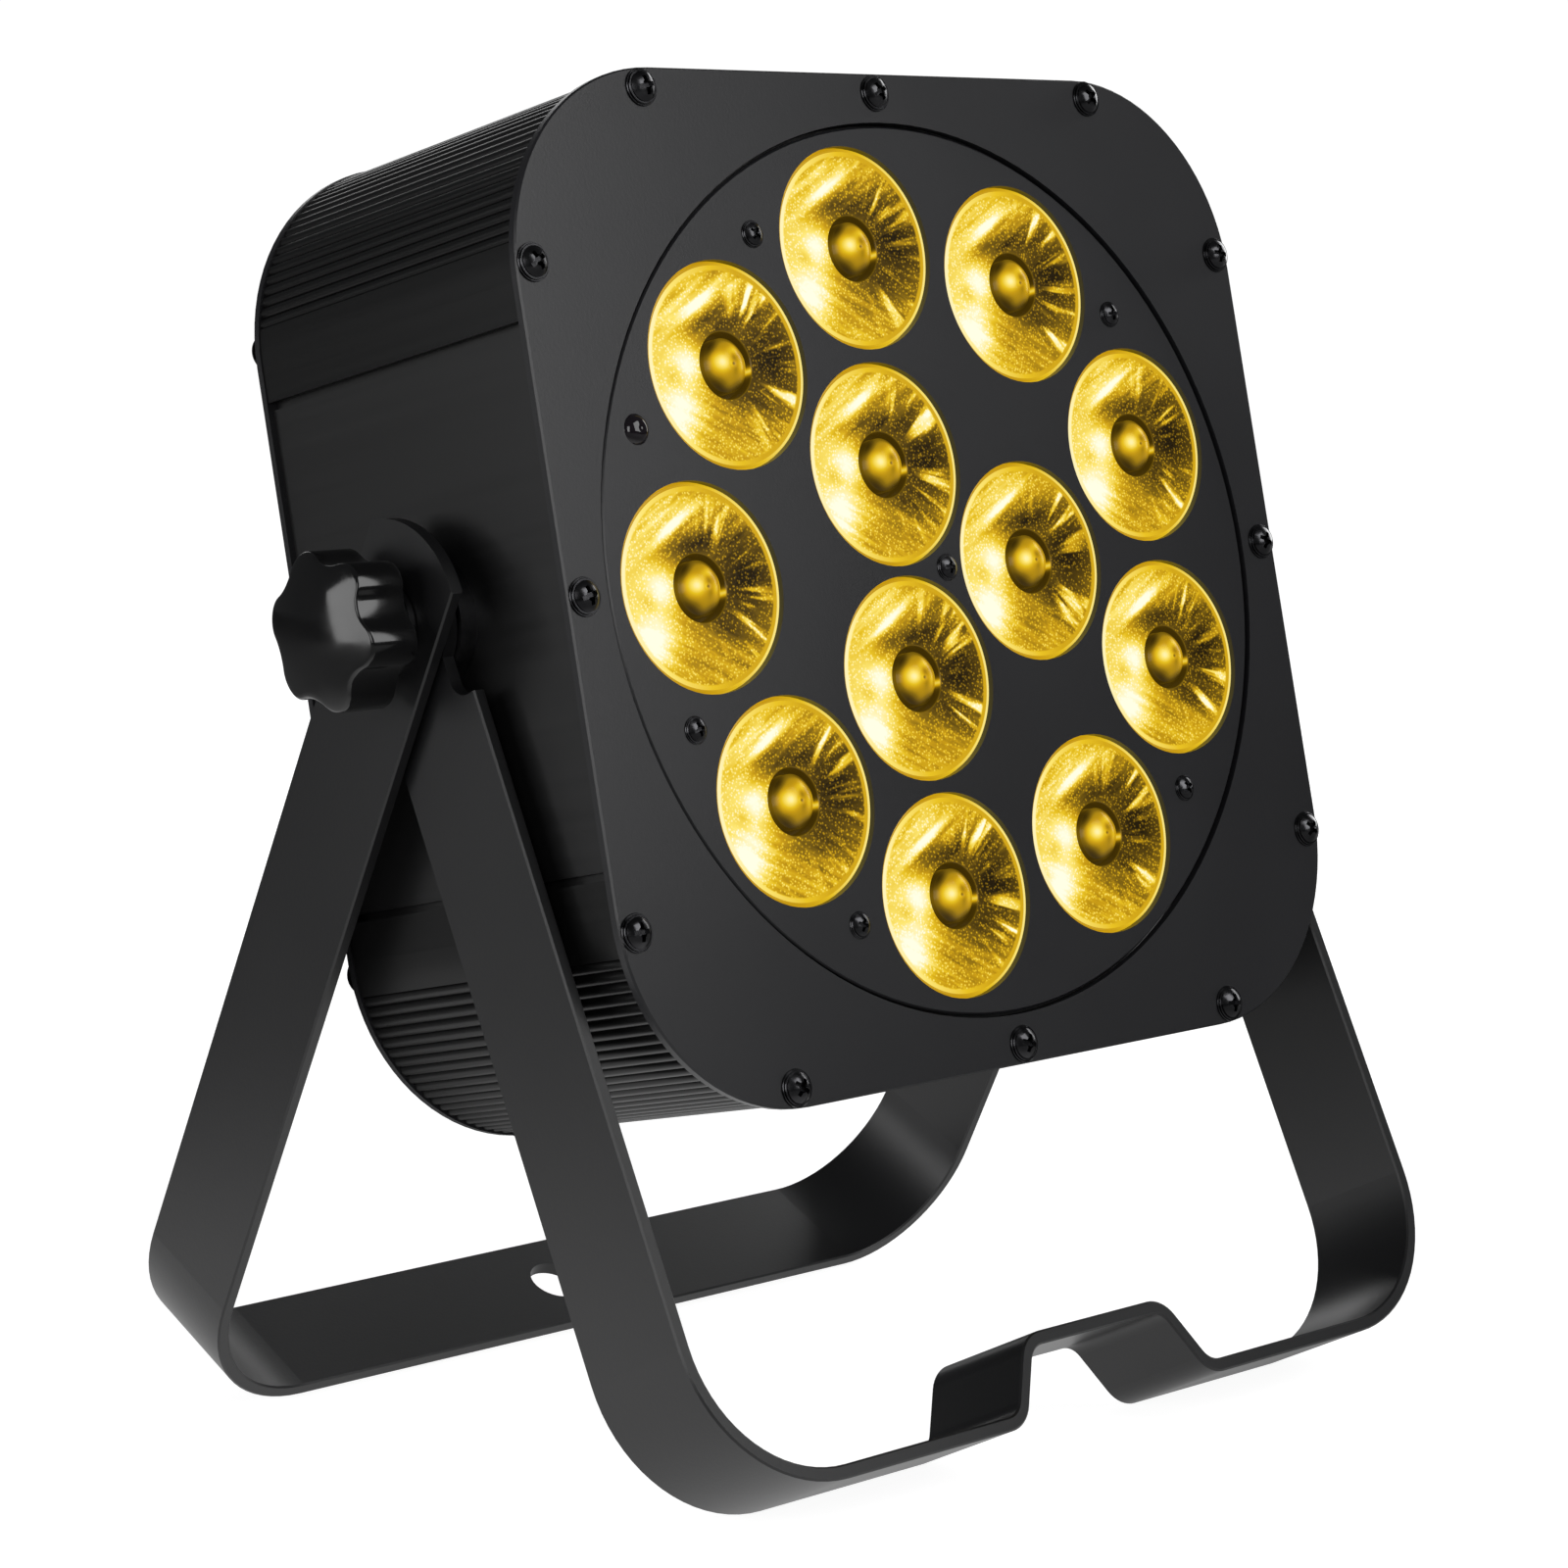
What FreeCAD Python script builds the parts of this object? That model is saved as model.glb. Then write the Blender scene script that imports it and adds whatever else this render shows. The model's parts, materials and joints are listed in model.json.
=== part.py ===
import FreeCAD
import Part
import math
import os

# Square LED par can on a double yoke.
#
# Fixture frame, used for the housing: x to the right, y from front to back, z up, with y = 0 on the
# front plate's front face and the origin at the plate's centre.  Every piece is then turned about the
# pivot axis and set on the floor (see "Standing pose"), with +Z up and the light facing -Y.
# All sizes are in millimetres.

V = FreeCAD.Vector
TOUCH = 1e-6

# ---- Driving dimensions ---------------------------------------------------------------------------
# Front plate and body
FRONT_HALF = 110.0
FRONT_CORNER = 44.5
SHEET = 2.0
EDGE_BREAK = 0.4
GASKET = 1.0
GASKET_INSET = 1.4
BODY_HALF = 109.1
BODY_CORNER = 43.6
BODY_BACK = 89.7
WALL = 2.4
SEAM_UP = 57.3
SEAM_GAP = 1.7
PANEL_FACE = 108.0
PANEL_SKIN = 3.0
TONGUE = 4.0
RIB_START = 8.0
RIB_PITCH = 2.6
RIB_DEPTH = 0.9
CHANNEL_R = 3.6

# Perimeter screws of the front and rear plates
SCREW_LINE = 105.6
SCREW_STEP = 68.75
SCREW_R = 2.0
SCREW_HEAD_R = 4.1
SCREW_HEAD_H = 2.4
SCREW_TURN = 37.0

# Lens plate and optics
OPENING_R = 99.1
LENS_PLATE_R = 98.3
LENS_PLATE_FACE = 0.5
LENS_HOLE_R = 22.5
LENS_R = 22.1
LENS_FACE = 1.3
LENS_FLANGE_R = 23.2
LENS_DEPTH = 18.5
OUTER_LENSES = 9
OUTER_RING = 72.4
OUTER_PHASE = 20.0
INNER_LENSES = 3
INNER_RING = 27.2
INNER_PHASE = 0.0
WELL_R = 7.5
DOME_R = 6.3
DOME_H = 2.2
DOME_SUNK = 0.7
SMALL_SCREW_R = 1.5
SMALL_HEAD_R = 3.0
SMALL_HEAD_H = 1.6
LENS_PLATE_SCREW_RING = 85.9
LENS_PLATE_SCREW_ANGLES = (40.0, 120.0, 200.0, 240.0, 320.0)
SENSOR_RING = 90.7
SENSOR_ANGLE = 158.2
SENSOR_R = 3.3
BOARD_R = 94.0
TRAY_R = 100.0
BOARD_T = 1.6
HEATSINK_BASE = 4.0
HEATSINK_FINS = 38.6

# Pivot axis, seen in the fixture frame
PIVOT_BACK = 46.4
PIVOT_UP = 2.1
STUD_R = 4.0
STUD_CLEARANCE = 0.08
RUN_GAP = 0.3

# Yoke strips: outer half width, pivot to outer face of the crossbar, outer bend radius
STRIP_T = 3.0
STRIP_W = 30.0
REAR_HALF = 119.8
REAR_REACH = 200.8
REAR_BEND = 31.6
REAR_EAR_R = 22.4
FRONT_YOKE_HALF = 115.6
FRONT_YOKE_REACH = 195.0
FRONT_YOKE_BEND = 33.4
FRONT_EAR_R = 13.7
NECK_HALF = 8.6
SHOULDER = 20.5
NECK_FILLET = 4.4
HAT_RISE = 16.0
HAT_TOP_HALF = 21.4
HAT_FOOT_HALF = 30.2
HAT_BEND = 6.5
CLAMP_HOLE_R = 6.5

# Knobs
KNOB_LOBES = 6
KNOB_R = 17.2
KNOB_VALLEY_R = 14.2
KNOB_LOBE_ARC = 5.2
KNOB_HEAD_START = 125.4
KNOB_HEAD_END = 140.2
KNOB_DOME = 3.0
HUB_R = 8.5
KNOB_PHASE = 21.0

# Rear fittings: places of the centres, x then z
FAN_CENTRE = (0.0, 6.0)
FAN_SIZE = 80.0
FAN_DEPTH = 25.0
FAN_SCREW_STEP = 35.75
FAN_HOLE_R = 36.0
DISPLAY_AT = (-34.0, 77.0)
BUTTON_XS = (4.0, 20.0, 36.0, 52.0)
BUTTON_UP = 77.0
BUTTON_R = 4.0
BUTTON_TRAVEL = 1.0
SOCKET_ROW = -76.0
DMX_IN_X = -72.0
DMX_OUT_X = -40.0
MAINS_IN_X = 2.0
MAINS_OUT_X = 42.0
FUSE_X = 78.0
SAFETY_HOLE_R = 4.0
SAFETY_UP = 92.5

# Standing pose
TILT = 11.14
REAR_SPLAY = 28.33


# ---- Shapes ---------------------------------------------------------------------------------------
def polar(radius, degrees):
    """Point in the x-z plane, degrees from +x towards +z."""
    angle = math.radians(degrees)
    return radius * math.cos(angle), radius * math.sin(angle)


def box(x0, x1, y0, y1, z0, z1):
    return Part.makeBox(x1 - x0, y1 - y0, z1 - z0, V(x0, y0, z0))


def rod(radius, y0, y1, x=0.0, z=0.0):
    """Cylinder along y."""
    return Part.makeCylinder(radius, y1 - y0, V(x, y0, z), V(0, 1, 0))


def axle(radius, x0, x1):
    """Cylinder along x on the pivot axis."""
    return Part.makeCylinder(radius, x1 - x0, V(x0, PIVOT_BACK, PIVOT_UP), V(1, 0, 0))


def closed_face(steps, to_space):
    """Face inside a closed outline.  A pair is a corner; a pair of pairs is an arc's middle and end."""
    edges = []
    here = steps[0]
    for step in steps[1:] + [steps[0]]:
        if isinstance(step[0], tuple):
            middle, end = step
            edges.append(Part.Arc(to_space(here), to_space(middle), to_space(end)).toShape())
            here = end
        elif math.dist(step, here) > TOUCH:
            edges.append(Part.LineSegment(to_space(here), to_space(step)).toShape())
            here = step
    return Part.Face(Part.Wire(edges))


def plate(steps, y0, y1):
    """Outline in the x-z plane, from y0 to y1."""
    face = closed_face(steps, lambda p: V(p[0], y0, p[1]))
    return face.extrude(V(0, y1 - y0, 0))


def turned(steps, x=0.0, z=0.0):
    """Outline of (radius, y) turned about the line through x, z parallel to y."""
    face = closed_face(steps, lambda p: V(p[0], p[1], 0))
    solid = face.revolve(V(0, 0, 0), V(0, 1, 0), 360)
    solid.translate(V(x, 0, z))
    return solid


def rounded_square(half, corner):
    """Outline of a square with rounded corners."""
    flat = half - corner
    steps = [(-flat, half)]
    for start in (90.0, 0.0, -90.0, -180.0):
        cx = flat * (1 if start in (90.0, 0.0) else -1)
        cz = flat * (1 if start in (90.0, -180.0) else -1)
        points = [polar(corner, start - turn) for turn in (0.0, 45.0, 90.0)]
        first, middle, end = [(cx + px, cz + pz) for px, pz in points]
        steps.append(first)
        steps.append((middle, end))
    return steps


def rounded_plate(half, corner, y0, y1):
    return plate(rounded_square(half, corner), y0, y1)


def cut(shape, tools):
    return shape.cut(tools)


def group(solids):
    return Part.makeCompound(solids)


def at(shape, x=0.0, y=0.0, z=0.0):
    copy = shape.copy()
    copy.translate(V(x, y, z))
    return copy


def face_back(shape):
    """Half turn about z, for fasteners that point forwards from the rear plate."""
    copy = shape.copy()
    copy.rotate(V(0, 0, 0), V(0, 0, 1), 180)
    return copy


def mirrored(shape):
    """The same piece on the other side, x to -x."""
    return shape.mirror(V(0, 0, 0), V(1, 0, 0))


def strip(points, radii, half_depth):
    """Bent strip: open centre line in x-z with a bend radius at each inner point, along y."""
    half = STRIP_T / 2

    def side(offset):
        lines = []
        for (x0, z0), (x1, z1) in zip(points, points[1:]):
            length = math.hypot(x1 - x0, z1 - z0)
            ux, uz = (x1 - x0) / length, (z1 - z0) / length
            lines.append((x0 - uz * offset, z0 + ux * offset, ux, uz, length))
        steps = [(lines[0][0], lines[0][1])]
        for one, two, radius in zip(lines, lines[1:], radii):
            turn = one[2] * two[3] - one[3] * two[2]
            gap_x, gap_z = two[0] - one[0], two[1] - one[1]
            along = (gap_x * two[3] - gap_z * two[2]) / turn
            corner = (one[0] + one[2] * along, one[1] + one[3] * along)
            bend = radius - offset * math.copysign(1, turn)
            half_turn = math.acos(one[2] * two[2] + one[3] * two[3]) / 2
            reach = bend * math.tan(half_turn)
            first = (corner[0] - one[2] * reach, corner[1] - one[3] * reach)
            last = (corner[0] + two[2] * reach, corner[1] + two[3] * reach)
            bisector = (two[2] - one[2], two[3] - one[3])
            size = math.hypot(bisector[0], bisector[1])
            depth = bend / math.cos(half_turn) - bend
            middle = (corner[0] + bisector[0] / size * depth, corner[1] + bisector[1] / size * depth)
            steps.append(first)
            steps.append((middle, last))
        x0, z0, ux, uz, length = lines[-1]
        steps.append((x0 + ux * length, z0 + uz * length))
        return steps

    def reverse(steps):
        """The same run of corners and arcs walked from its end."""
        ends = [step[1] if isinstance(step[0], tuple) else step for step in steps]
        back = [ends[-1]]
        for index in range(len(steps) - 1, 0, -1):
            if isinstance(steps[index][0], tuple):
                back.append((steps[index][0], ends[index - 1]))
            else:
                back.append(ends[index - 1])
        return back

    return plate(side(half) + reverse(side(-half)), -half_depth, half_depth)


def perimeter_places():
    """Centres of the twelve screws round a square plate."""
    places = []
    for side in (-1, 1):
        for step in (-SCREW_STEP, 0.0, SCREW_STEP):
            places.append((side * SCREW_LINE, step))
            places.append((step, side * SCREW_LINE))
    return places


def lens_places():
    """Centres of the twelve lenses, the outer ring first."""
    places = [polar(OUTER_RING, OUTER_PHASE + 360.0 * k / OUTER_LENSES) for k in range(OUTER_LENSES)]
    places += [polar(INNER_RING, INNER_PHASE + 360.0 * k / INNER_LENSES) for k in range(INNER_LENSES)]
    return places


def lens_plate_screw_places():
    places = [polar(LENS_PLATE_SCREW_RING, angle) for angle in LENS_PLATE_SCREW_ANGLES]
    return places + [(0.0, 0.0)]


def screw(radius, head_radius, head_height, length):
    """Pan-head screw on a stepped washer flange: head towards -y, seat at y = 0, shank along +y."""
    flange = head_height * 0.2
    step = head_height * 0.38
    collar = head_radius * 0.92
    crown = head_radius * 0.80
    rise = head_height - step - 0.2
    ball = (crown ** 2 + rise ** 2) / (2 * rise)
    half_way = ball - math.sqrt(ball ** 2 - (crown * 0.6) ** 2) - head_height
    head = turned([(0.0, -head_height), ((crown * 0.6, half_way), (crown, -step - 0.2)), (crown, -step),
                   (collar - 0.1, -step), (collar, -step + 0.1), (collar, -flange),
                   (head_radius - 0.1, -flange), (head_radius, -flange + 0.1), (head_radius, 0.0),
                   (radius, 0.0), (radius, length - 0.6), (radius - 0.6, length), (0.0, length)])
    long = head_radius * 0.50
    thin = head_radius * 0.12
    deep = head_height * 0.55
    slots = [box(-long, long, -head_height, -head_height + deep, -thin, thin),
             box(-thin, thin, -head_height, -head_height + deep, -long, long)]
    middle = Part.makeCone(head_radius * 0.30, head_radius * 0.16, deep, V(0, -head_height, 0), V(0, 1, 0))
    return cut(head, slots + [middle])


def screws_at(places, y, radius, head_radius, head_height, length):
    """One screw at each place, each stopped at its own angle."""
    one = screw(radius, head_radius, head_height, length)
    made = []
    for number, (x, z) in enumerate(places):
        turned_one = one.copy()
        turned_one.rotate(V(0, 0, 0), V(0, 1, 0), number * SCREW_TURN)
        made.append(at(turned_one, x, y, z))
    return group(made)


# ---- Front of the light -----------------------------------------------------------------------------
GASKET_BACK = SHEET + GASKET
BODY_FRONT = GASKET_BACK
LENS_PLATE_BACK = LENS_PLATE_FACE + SHEET
FLANGE_BACK = LENS_PLATE_BACK + 1.2
TRAY_T = 2.0
BOARD_FRONT = LENS_FACE + LENS_DEPTH
BOARD_BACK = BOARD_FRONT + BOARD_T


def front_plate():
    solid = rounded_plate(FRONT_HALF, FRONT_CORNER, 0.0, SHEET)
    rim = [edge for edge in solid.Edges if abs(edge.CenterOfMass.y) < 0.01]
    solid = solid.makeChamfer(EDGE_BREAK, rim)
    holes = [rod(SCREW_R + 0.2, -1, SHEET + 1, x, z) for x, z in perimeter_places()]
    return cut(solid, [rod(OPENING_R, -1, SHEET + 1)] + holes)


def front_gasket():
    half = FRONT_HALF - GASKET_INSET
    inner = 100.6
    outer = rounded_plate(half, FRONT_CORNER - GASKET_INSET, SHEET, GASKET_BACK)
    hollow = rounded_plate(inner, FRONT_CORNER, SHEET - 1, GASKET_BACK + 1)
    holes = [rod(SCREW_R + 0.1, SHEET - 1, GASKET_BACK + 1, x, z) for x, z in perimeter_places()]
    return cut(outer, [hollow] + holes)


def front_plate_screws():
    return screws_at(perimeter_places(), 0.0, SCREW_R, SCREW_HEAD_R, SCREW_HEAD_H, 12.0)


def sensor_place():
    return polar(SENSOR_RING, SENSOR_ANGLE)


def lens_plate():
    solid = rod(LENS_PLATE_R, LENS_PLATE_FACE, LENS_PLATE_BACK)
    rim = [edge for edge in solid.Edges if abs(edge.CenterOfMass.y - LENS_PLATE_FACE) < 0.01]
    solid = solid.makeChamfer(EDGE_BREAK, rim)
    y0, y1 = LENS_PLATE_FACE - 1, LENS_PLATE_BACK + 1
    tools = [rod(LENS_HOLE_R, y0, y1, x, z) for x, z in lens_places()]
    tools += [rod(SMALL_SCREW_R + 0.1, y0, y1, x, z) for x, z in lens_plate_screw_places()]
    x, z = sensor_place()
    tools.append(rod(SENSOR_R - 0.4, y0, y1, x, z))
    return cut(solid, tools)


def lens_plate_seal():
    """Soft ring behind the groove round the lens plate."""
    inner, outer = 95.8, 102.0
    y0 = LENS_PLATE_BACK
    return turned([(inner, y0), (98.9, y0), ((99.6, y0 - 0.3), (100.2, GASKET_BACK)), (outer, GASKET_BACK),
                   (outer, FLANGE_BACK), (inner, FLANGE_BACK)])


def lens_plate_screws():
    places = lens_plate_screw_places()
    return screws_at(places, LENS_PLATE_FACE, SMALL_SCREW_R, SMALL_HEAD_R, SMALL_HEAD_H, 9.0)


def lens_plate_standoffs():
    """Pillars between the lens plate and the LED board."""
    pillars = []
    for x, z in lens_plate_screw_places():
        pillar = rod(2.9, LENS_PLATE_BACK, BOARD_FRONT, x, z)
        bore = rod(SMALL_SCREW_R, LENS_PLATE_BACK - 1, LENS_PLATE_BACK + 9, x, z)
        pillars.append(cut(pillar, [bore]))
    return group(pillars)


def sensor_window():
    x, z = sensor_place()
    y = LENS_PLATE_FACE
    return turned([(0.0, y - 1.6), ((SENSOR_R * 0.72, y - 1.05), (SENSOR_R, y)), (SENSOR_R - 0.4, y),
                   (SENSOR_R - 0.4, y + 4.0), (0.0, y + 4.0)], x, z)


def lens(x, z):
    """Collimator lens: textured face, centre well with a dome, cone behind, seat for the emitter."""
    face = LENS_FACE
    dip = face + 0.4
    base = dip + DOME_SUNK
    well = dip + 3.0
    back = face + LENS_DEPTH
    return turned([(0.0, base - DOME_H), ((DOME_R * 0.7, base - DOME_H * 0.52), (DOME_R, base)),
                   (DOME_R, well), (WELL_R, well), (WELL_R, dip), (LENS_R - 1.0, dip),
                   (LENS_R - 0.7, face), (LENS_R, face), (LENS_R, LENS_PLATE_BACK),
                   (LENS_FLANGE_R, LENS_PLATE_BACK), (LENS_FLANGE_R, FLANGE_BACK),
                   (LENS_R, FLANGE_BACK), ((16.5, 12.5), (8.0, back - 0.6)), (4.4, back - 0.6),
                   (4.4, back - 5.0), (0.0, back - 5.0)], x, z)


def optic_tray():
    """Frame that carries the lens flanges and shades the board."""
    y0, y1 = FLANGE_BACK, FLANGE_BACK + TRAY_T
    solid = rod(TRAY_R, y0, y1)
    tools = [rod(LENS_R + 0.1, y0 - 1, y1 + 1, x, z) for x, z in lens_places()]
    tools += [rod(3.1, y0 - 1, y1 + 1, x, z) for x, z in lens_plate_screw_places()]
    x, z = sensor_place()
    tools.append(rod(SENSOR_R, y0 - 1, y1 + 1, x, z))
    return cut(solid, tools)


def led_board():
    return cut(rod(BOARD_R, BOARD_FRONT, BOARD_BACK), [rod(3.0, 0, 60, 0, 50)])


def led_emitters():
    emitters = []
    for x, z in lens_places():
        base = box(x - 2.8, x + 2.8, BOARD_FRONT - 0.9, BOARD_FRONT, z - 2.8, z + 2.8)
        top = BOARD_FRONT - 0.9
        dome = turned([(0.0, top - 1.9), ((1.6, top - 1.3), (2.3, top)), (0.0, top)], x, z)
        emitters.append(base.fuse(dome))
    return group(emitters)


def heatsink():
    """Finned plate behind the board, with tabs to the side panels."""
    y0, y1 = BOARD_BACK, BOARD_BACK + HEATSINK_BASE
    solid = rounded_plate(96.0, 30.0, y0, y1)
    pieces = []
    half = 90.0
    count = 19
    for k in range(count):
        x = -half + 2 * half * k / (count - 1)
        reach = 92.0 if abs(x) < 68 else 74.0
        pieces.append(box(x - 0.9, x + 0.9, y1 - 0.5, HEATSINK_FINS, -reach, reach))
    tab_out = PANEL_FACE - PANEL_SKIN
    for side in (-1, 1):
        for up in (-36.0, 36.0):
            x0, x1 = sorted((side * 94.0, side * tab_out))
            pieces.append(box(x0, x1, y0, y1, up - 10, up + 10))
    return solid.multiFuse(pieces).removeSplitter()


# ---- Body -------------------------------------------------------------------------------------------
def outline_point(run, depth):
    """Point on the top shell's outline, run from where the left side meets the corner, sunk by depth."""
    flat = BODY_HALF - BODY_CORNER
    corner_run = BODY_CORNER * math.pi / 2
    radius = BODY_CORNER - depth
    if run < corner_run:
        x, z = polar(radius, 180.0 - math.degrees(run / BODY_CORNER))
        return x - flat, z + flat
    if run < corner_run + 2 * flat:
        return run - corner_run - flat, BODY_HALF - depth
    x, z = polar(radius, 90.0 - math.degrees((run - corner_run - 2 * flat) / BODY_CORNER))
    return x + flat, z + flat


def top_shell():
    """Ribbed extrusion over the top, with screw channels inside."""
    flat = BODY_HALF - BODY_CORNER
    full = BODY_CORNER * math.pi + 2 * flat
    count = round((full - 2 * RIB_START) / RIB_PITCH)
    pitch = (full - 2 * RIB_START) / count
    steps = [(-BODY_HALF, SEAM_UP), (-BODY_HALF, flat)]
    steps.append((outline_point(RIB_START / 2, 0), outline_point(RIB_START, 0)))
    steps.append(outline_point(RIB_START, RIB_DEPTH))
    for k in range(count):
        run = RIB_START + k * pitch
        steps.append((outline_point(run + pitch / 2, 0), outline_point(run + pitch, RIB_DEPTH)))
    steps.append(outline_point(full - RIB_START, 0))
    steps.append((outline_point(full - RIB_START / 2, 0), (BODY_HALF, flat)))
    steps.append((BODY_HALF, SEAM_UP))
    inside = BODY_HALF - WALL
    bend = BODY_CORNER - WALL
    steps += [(inside, SEAM_UP), (inside, flat)]
    steps.append((tuple(flat + p for p in polar(bend, 45.0)), (flat, inside)))
    steps.append((-flat, inside))
    middle = polar(bend, 135.0)
    steps.append(((middle[0] - flat, middle[1] + flat), (-inside, flat)))
    steps.append((-inside, SEAM_UP))
    shell = plate(steps, BODY_FRONT, BODY_BACK)
    channels = []
    bores = []
    y0, y1 = BODY_FRONT, BODY_BACK
    skin = inside + 0.6
    for x, z in perimeter_places():
        if z > 100.0:
            channels.append(box(x - CHANNEL_R, x + CHANNEL_R, y0, y1, z - CHANNEL_R, skin))
        elif z > SEAM_UP:
            x0, x1 = sorted((x - math.copysign(CHANNEL_R, x), math.copysign(skin, x)))
            channels.append(box(x0, x1, y0, y1, z - CHANNEL_R, z + CHANNEL_R))
        if z > SEAM_UP:
            bores.append(rod(SCREW_R + 0.05, y0 - 1, y1 + 1, x, z))
    return cut(shell.multiFuse(channels), bores)


def bottom_shell():
    return TOP_SHELL.mirror(V(0, 0, 0), V(0, 0, 1))


def side_panel_left():
    """Flat side wall whose tongues sit behind the shells' edges, leaving a groove along each seam."""
    face = PANEL_FACE
    inner = face - PANEL_SKIN
    tongue_face = BODY_HALF - WALL
    edge = SEAM_UP - SEAM_GAP
    far = SEAM_UP + TONGUE
    steps = [(-face, -edge), (-face, edge), (-tongue_face, edge), (-tongue_face, far), (-inner, far),
             (-inner, -far), (-tongue_face, -far), (-tongue_face, -edge)]
    solid = plate(steps, BODY_FRONT, BODY_BACK)
    channel = box(-inner - 0.5, -SCREW_LINE + CHANNEL_R, BODY_FRONT, BODY_BACK, -CHANNEL_R, CHANNEL_R)
    bore = rod(SCREW_R + 0.05, 0, BODY_BACK + 1, -SCREW_LINE, 0.0)
    solid = solid.fuse(channel)
    clear = axle(13.0, -inner, -90.0)
    return cut(solid, [bore, clear, axle(BOSS_SHANK_R, -120.0, -90.0)])


# ---- Rear -------------------------------------------------------------------------------------------
REAR_FACE = BODY_BACK + SHEET
REAR_HALF_SIZE = BODY_HALF + 0.4
REAR_CORNER = BODY_CORNER + 0.4


def socket_plate_holes(x):
    """Clear hole and two screw holes of a round panel connector."""
    y0, y1 = BODY_BACK - 1, REAR_FACE + 1
    holes = [rod(11.9, y0, y1, x, SOCKET_ROW)]
    for dx, dz in ((-9.5, 12.0), (9.5, -12.0)):
        holes.append(rod(1.6, y0, y1, x + dx, SOCKET_ROW + dz))
    return holes


def grille_slots():
    """Upright slots with round ends inside the fan circle."""
    slots = []
    pitch = 8.0
    half = 2.7
    for k in range(-4, 5):
        x = FAN_CENTRE[0] + k * pitch
        reach = math.sqrt(FAN_HOLE_R ** 2 - (k * pitch) ** 2) - half
        for low, high in ((-reach, -half - 2.0), (half + 2.0, reach)):
            z0, z1 = FAN_CENTRE[1] + low, FAN_CENTRE[1] + high
            slot = box(x - half, x + half, BODY_BACK - 1, REAR_FACE + 1, z0, z1)
            ends = [rod(half, BODY_BACK - 1, REAR_FACE + 1, x, z) for z in (z0, z1)]
            slots.append(slot.multiFuse(ends))
    return slots


def vent_slots():
    """Level slots on both sides of the fan."""
    slots = []
    for side in (-1, 1):
        for k in range(7):
            z = FAN_CENTRE[1] - 30.0 + 10.0 * k
            x0, x1 = sorted((side * 56.0, side * 92.0))
            slot = box(x0, x1, BODY_BACK - 1, REAR_FACE + 1, z - 1.5, z + 1.5)
            ends = [rod(1.5, BODY_BACK - 1, REAR_FACE + 1, x, z) for x in (x0, x1)]
            slots.append(slot.multiFuse(ends))
    return slots


def fan_screw_places():
    return [(FAN_CENTRE[0] + i * FAN_SCREW_STEP, FAN_CENTRE[1] + k * FAN_SCREW_STEP)
            for i in (-1, 1) for k in (-1, 1)]


def rear_plate():
    y0, y1 = BODY_BACK - 1, REAR_FACE + 1
    solid = rounded_plate(REAR_HALF_SIZE, REAR_CORNER, BODY_BACK, REAR_FACE)
    rim = [edge for edge in solid.Edges if abs(edge.CenterOfMass.y - REAR_FACE) < 0.01]
    solid = solid.makeChamfer(EDGE_BREAK, rim)
    tools = [rod(SCREW_R + 0.2, y0, y1, x, z) for x, z in perimeter_places()]
    tools += [rod(SMALL_SCREW_R + 0.2, y0, y1, x, z) for x, z in fan_screw_places()]
    tools += [rod(BUTTON_R + 0.35, y0, y1, x, BUTTON_UP) for x in BUTTON_XS]
    dx, dz = DISPLAY_AT
    tools.append(box(dx - 19, dx + 19, y0, y1, dz - 8, dz + 8))
    tools += socket_plate_holes(DMX_IN_X) + socket_plate_holes(DMX_OUT_X)
    tools.append(box(DMX_OUT_X - 3.5, DMX_OUT_X + 3.5, y0, y1, SOCKET_ROW + 9.0, SOCKET_ROW + 13.5))
    for x in (MAINS_IN_X, MAINS_OUT_X):
        tools.append(box(x - 14, x + 14, y0, y1, SOCKET_ROW - 10.5, SOCKET_ROW + 10.5))
    tools.append(rod(6.2, y0, y1, FUSE_X, SOCKET_ROW))
    tools += [rod(SMALL_SCREW_R + 0.1, y0, y1, x, SAFETY_UP) for x in (-10.0, 10.0)]
    return cut(solid, tools + grille_slots() + vent_slots())


def rear_plate_screws():
    one = face_back(screw(SCREW_R, SCREW_HEAD_R, SCREW_HEAD_H, 12.0))
    return group([at(one, x, REAR_FACE, z) for x, z in perimeter_places()])


def fan_frame():
    cx, cz = FAN_CENTRE
    half = FAN_SIZE / 2
    y0, y1 = BODY_BACK - FAN_DEPTH, BODY_BACK
    solid = box(cx - half, cx + half, y0, y1, cz - half, cz + half)
    solid = solid.makeFillet(4.0, [e for e in solid.Edges if e.Length > 20 and abs(e.tangentAt(0).y) > 0.9])
    solid = cut(solid, [rod(38.0, y0 - 1, y1 + 1, cx, cz)])
    motor = rod(16.0, y1 - 3.0, y1, cx, cz)
    pin = rod(1.5, y0 + 6.0, y1 - 2.0, cx, cz)
    arms = []
    for turn in (45.0, 135.0, 225.0, 315.0):
        arm = box(cx + 14.0, cx + 38.6, y1 - 3.0, y1, cz - 1.5, cz + 1.5)
        arm.rotate(V(cx, 0, cz), V(0, 1, 0), turn)
        arms.append(arm)
    solid = solid.multiFuse([motor, pin] + arms)
    holes = [rod(SMALL_SCREW_R, y0 - 1, y1 + 1, x, z) for x, z in fan_screw_places()]
    return cut(solid, holes)


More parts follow.
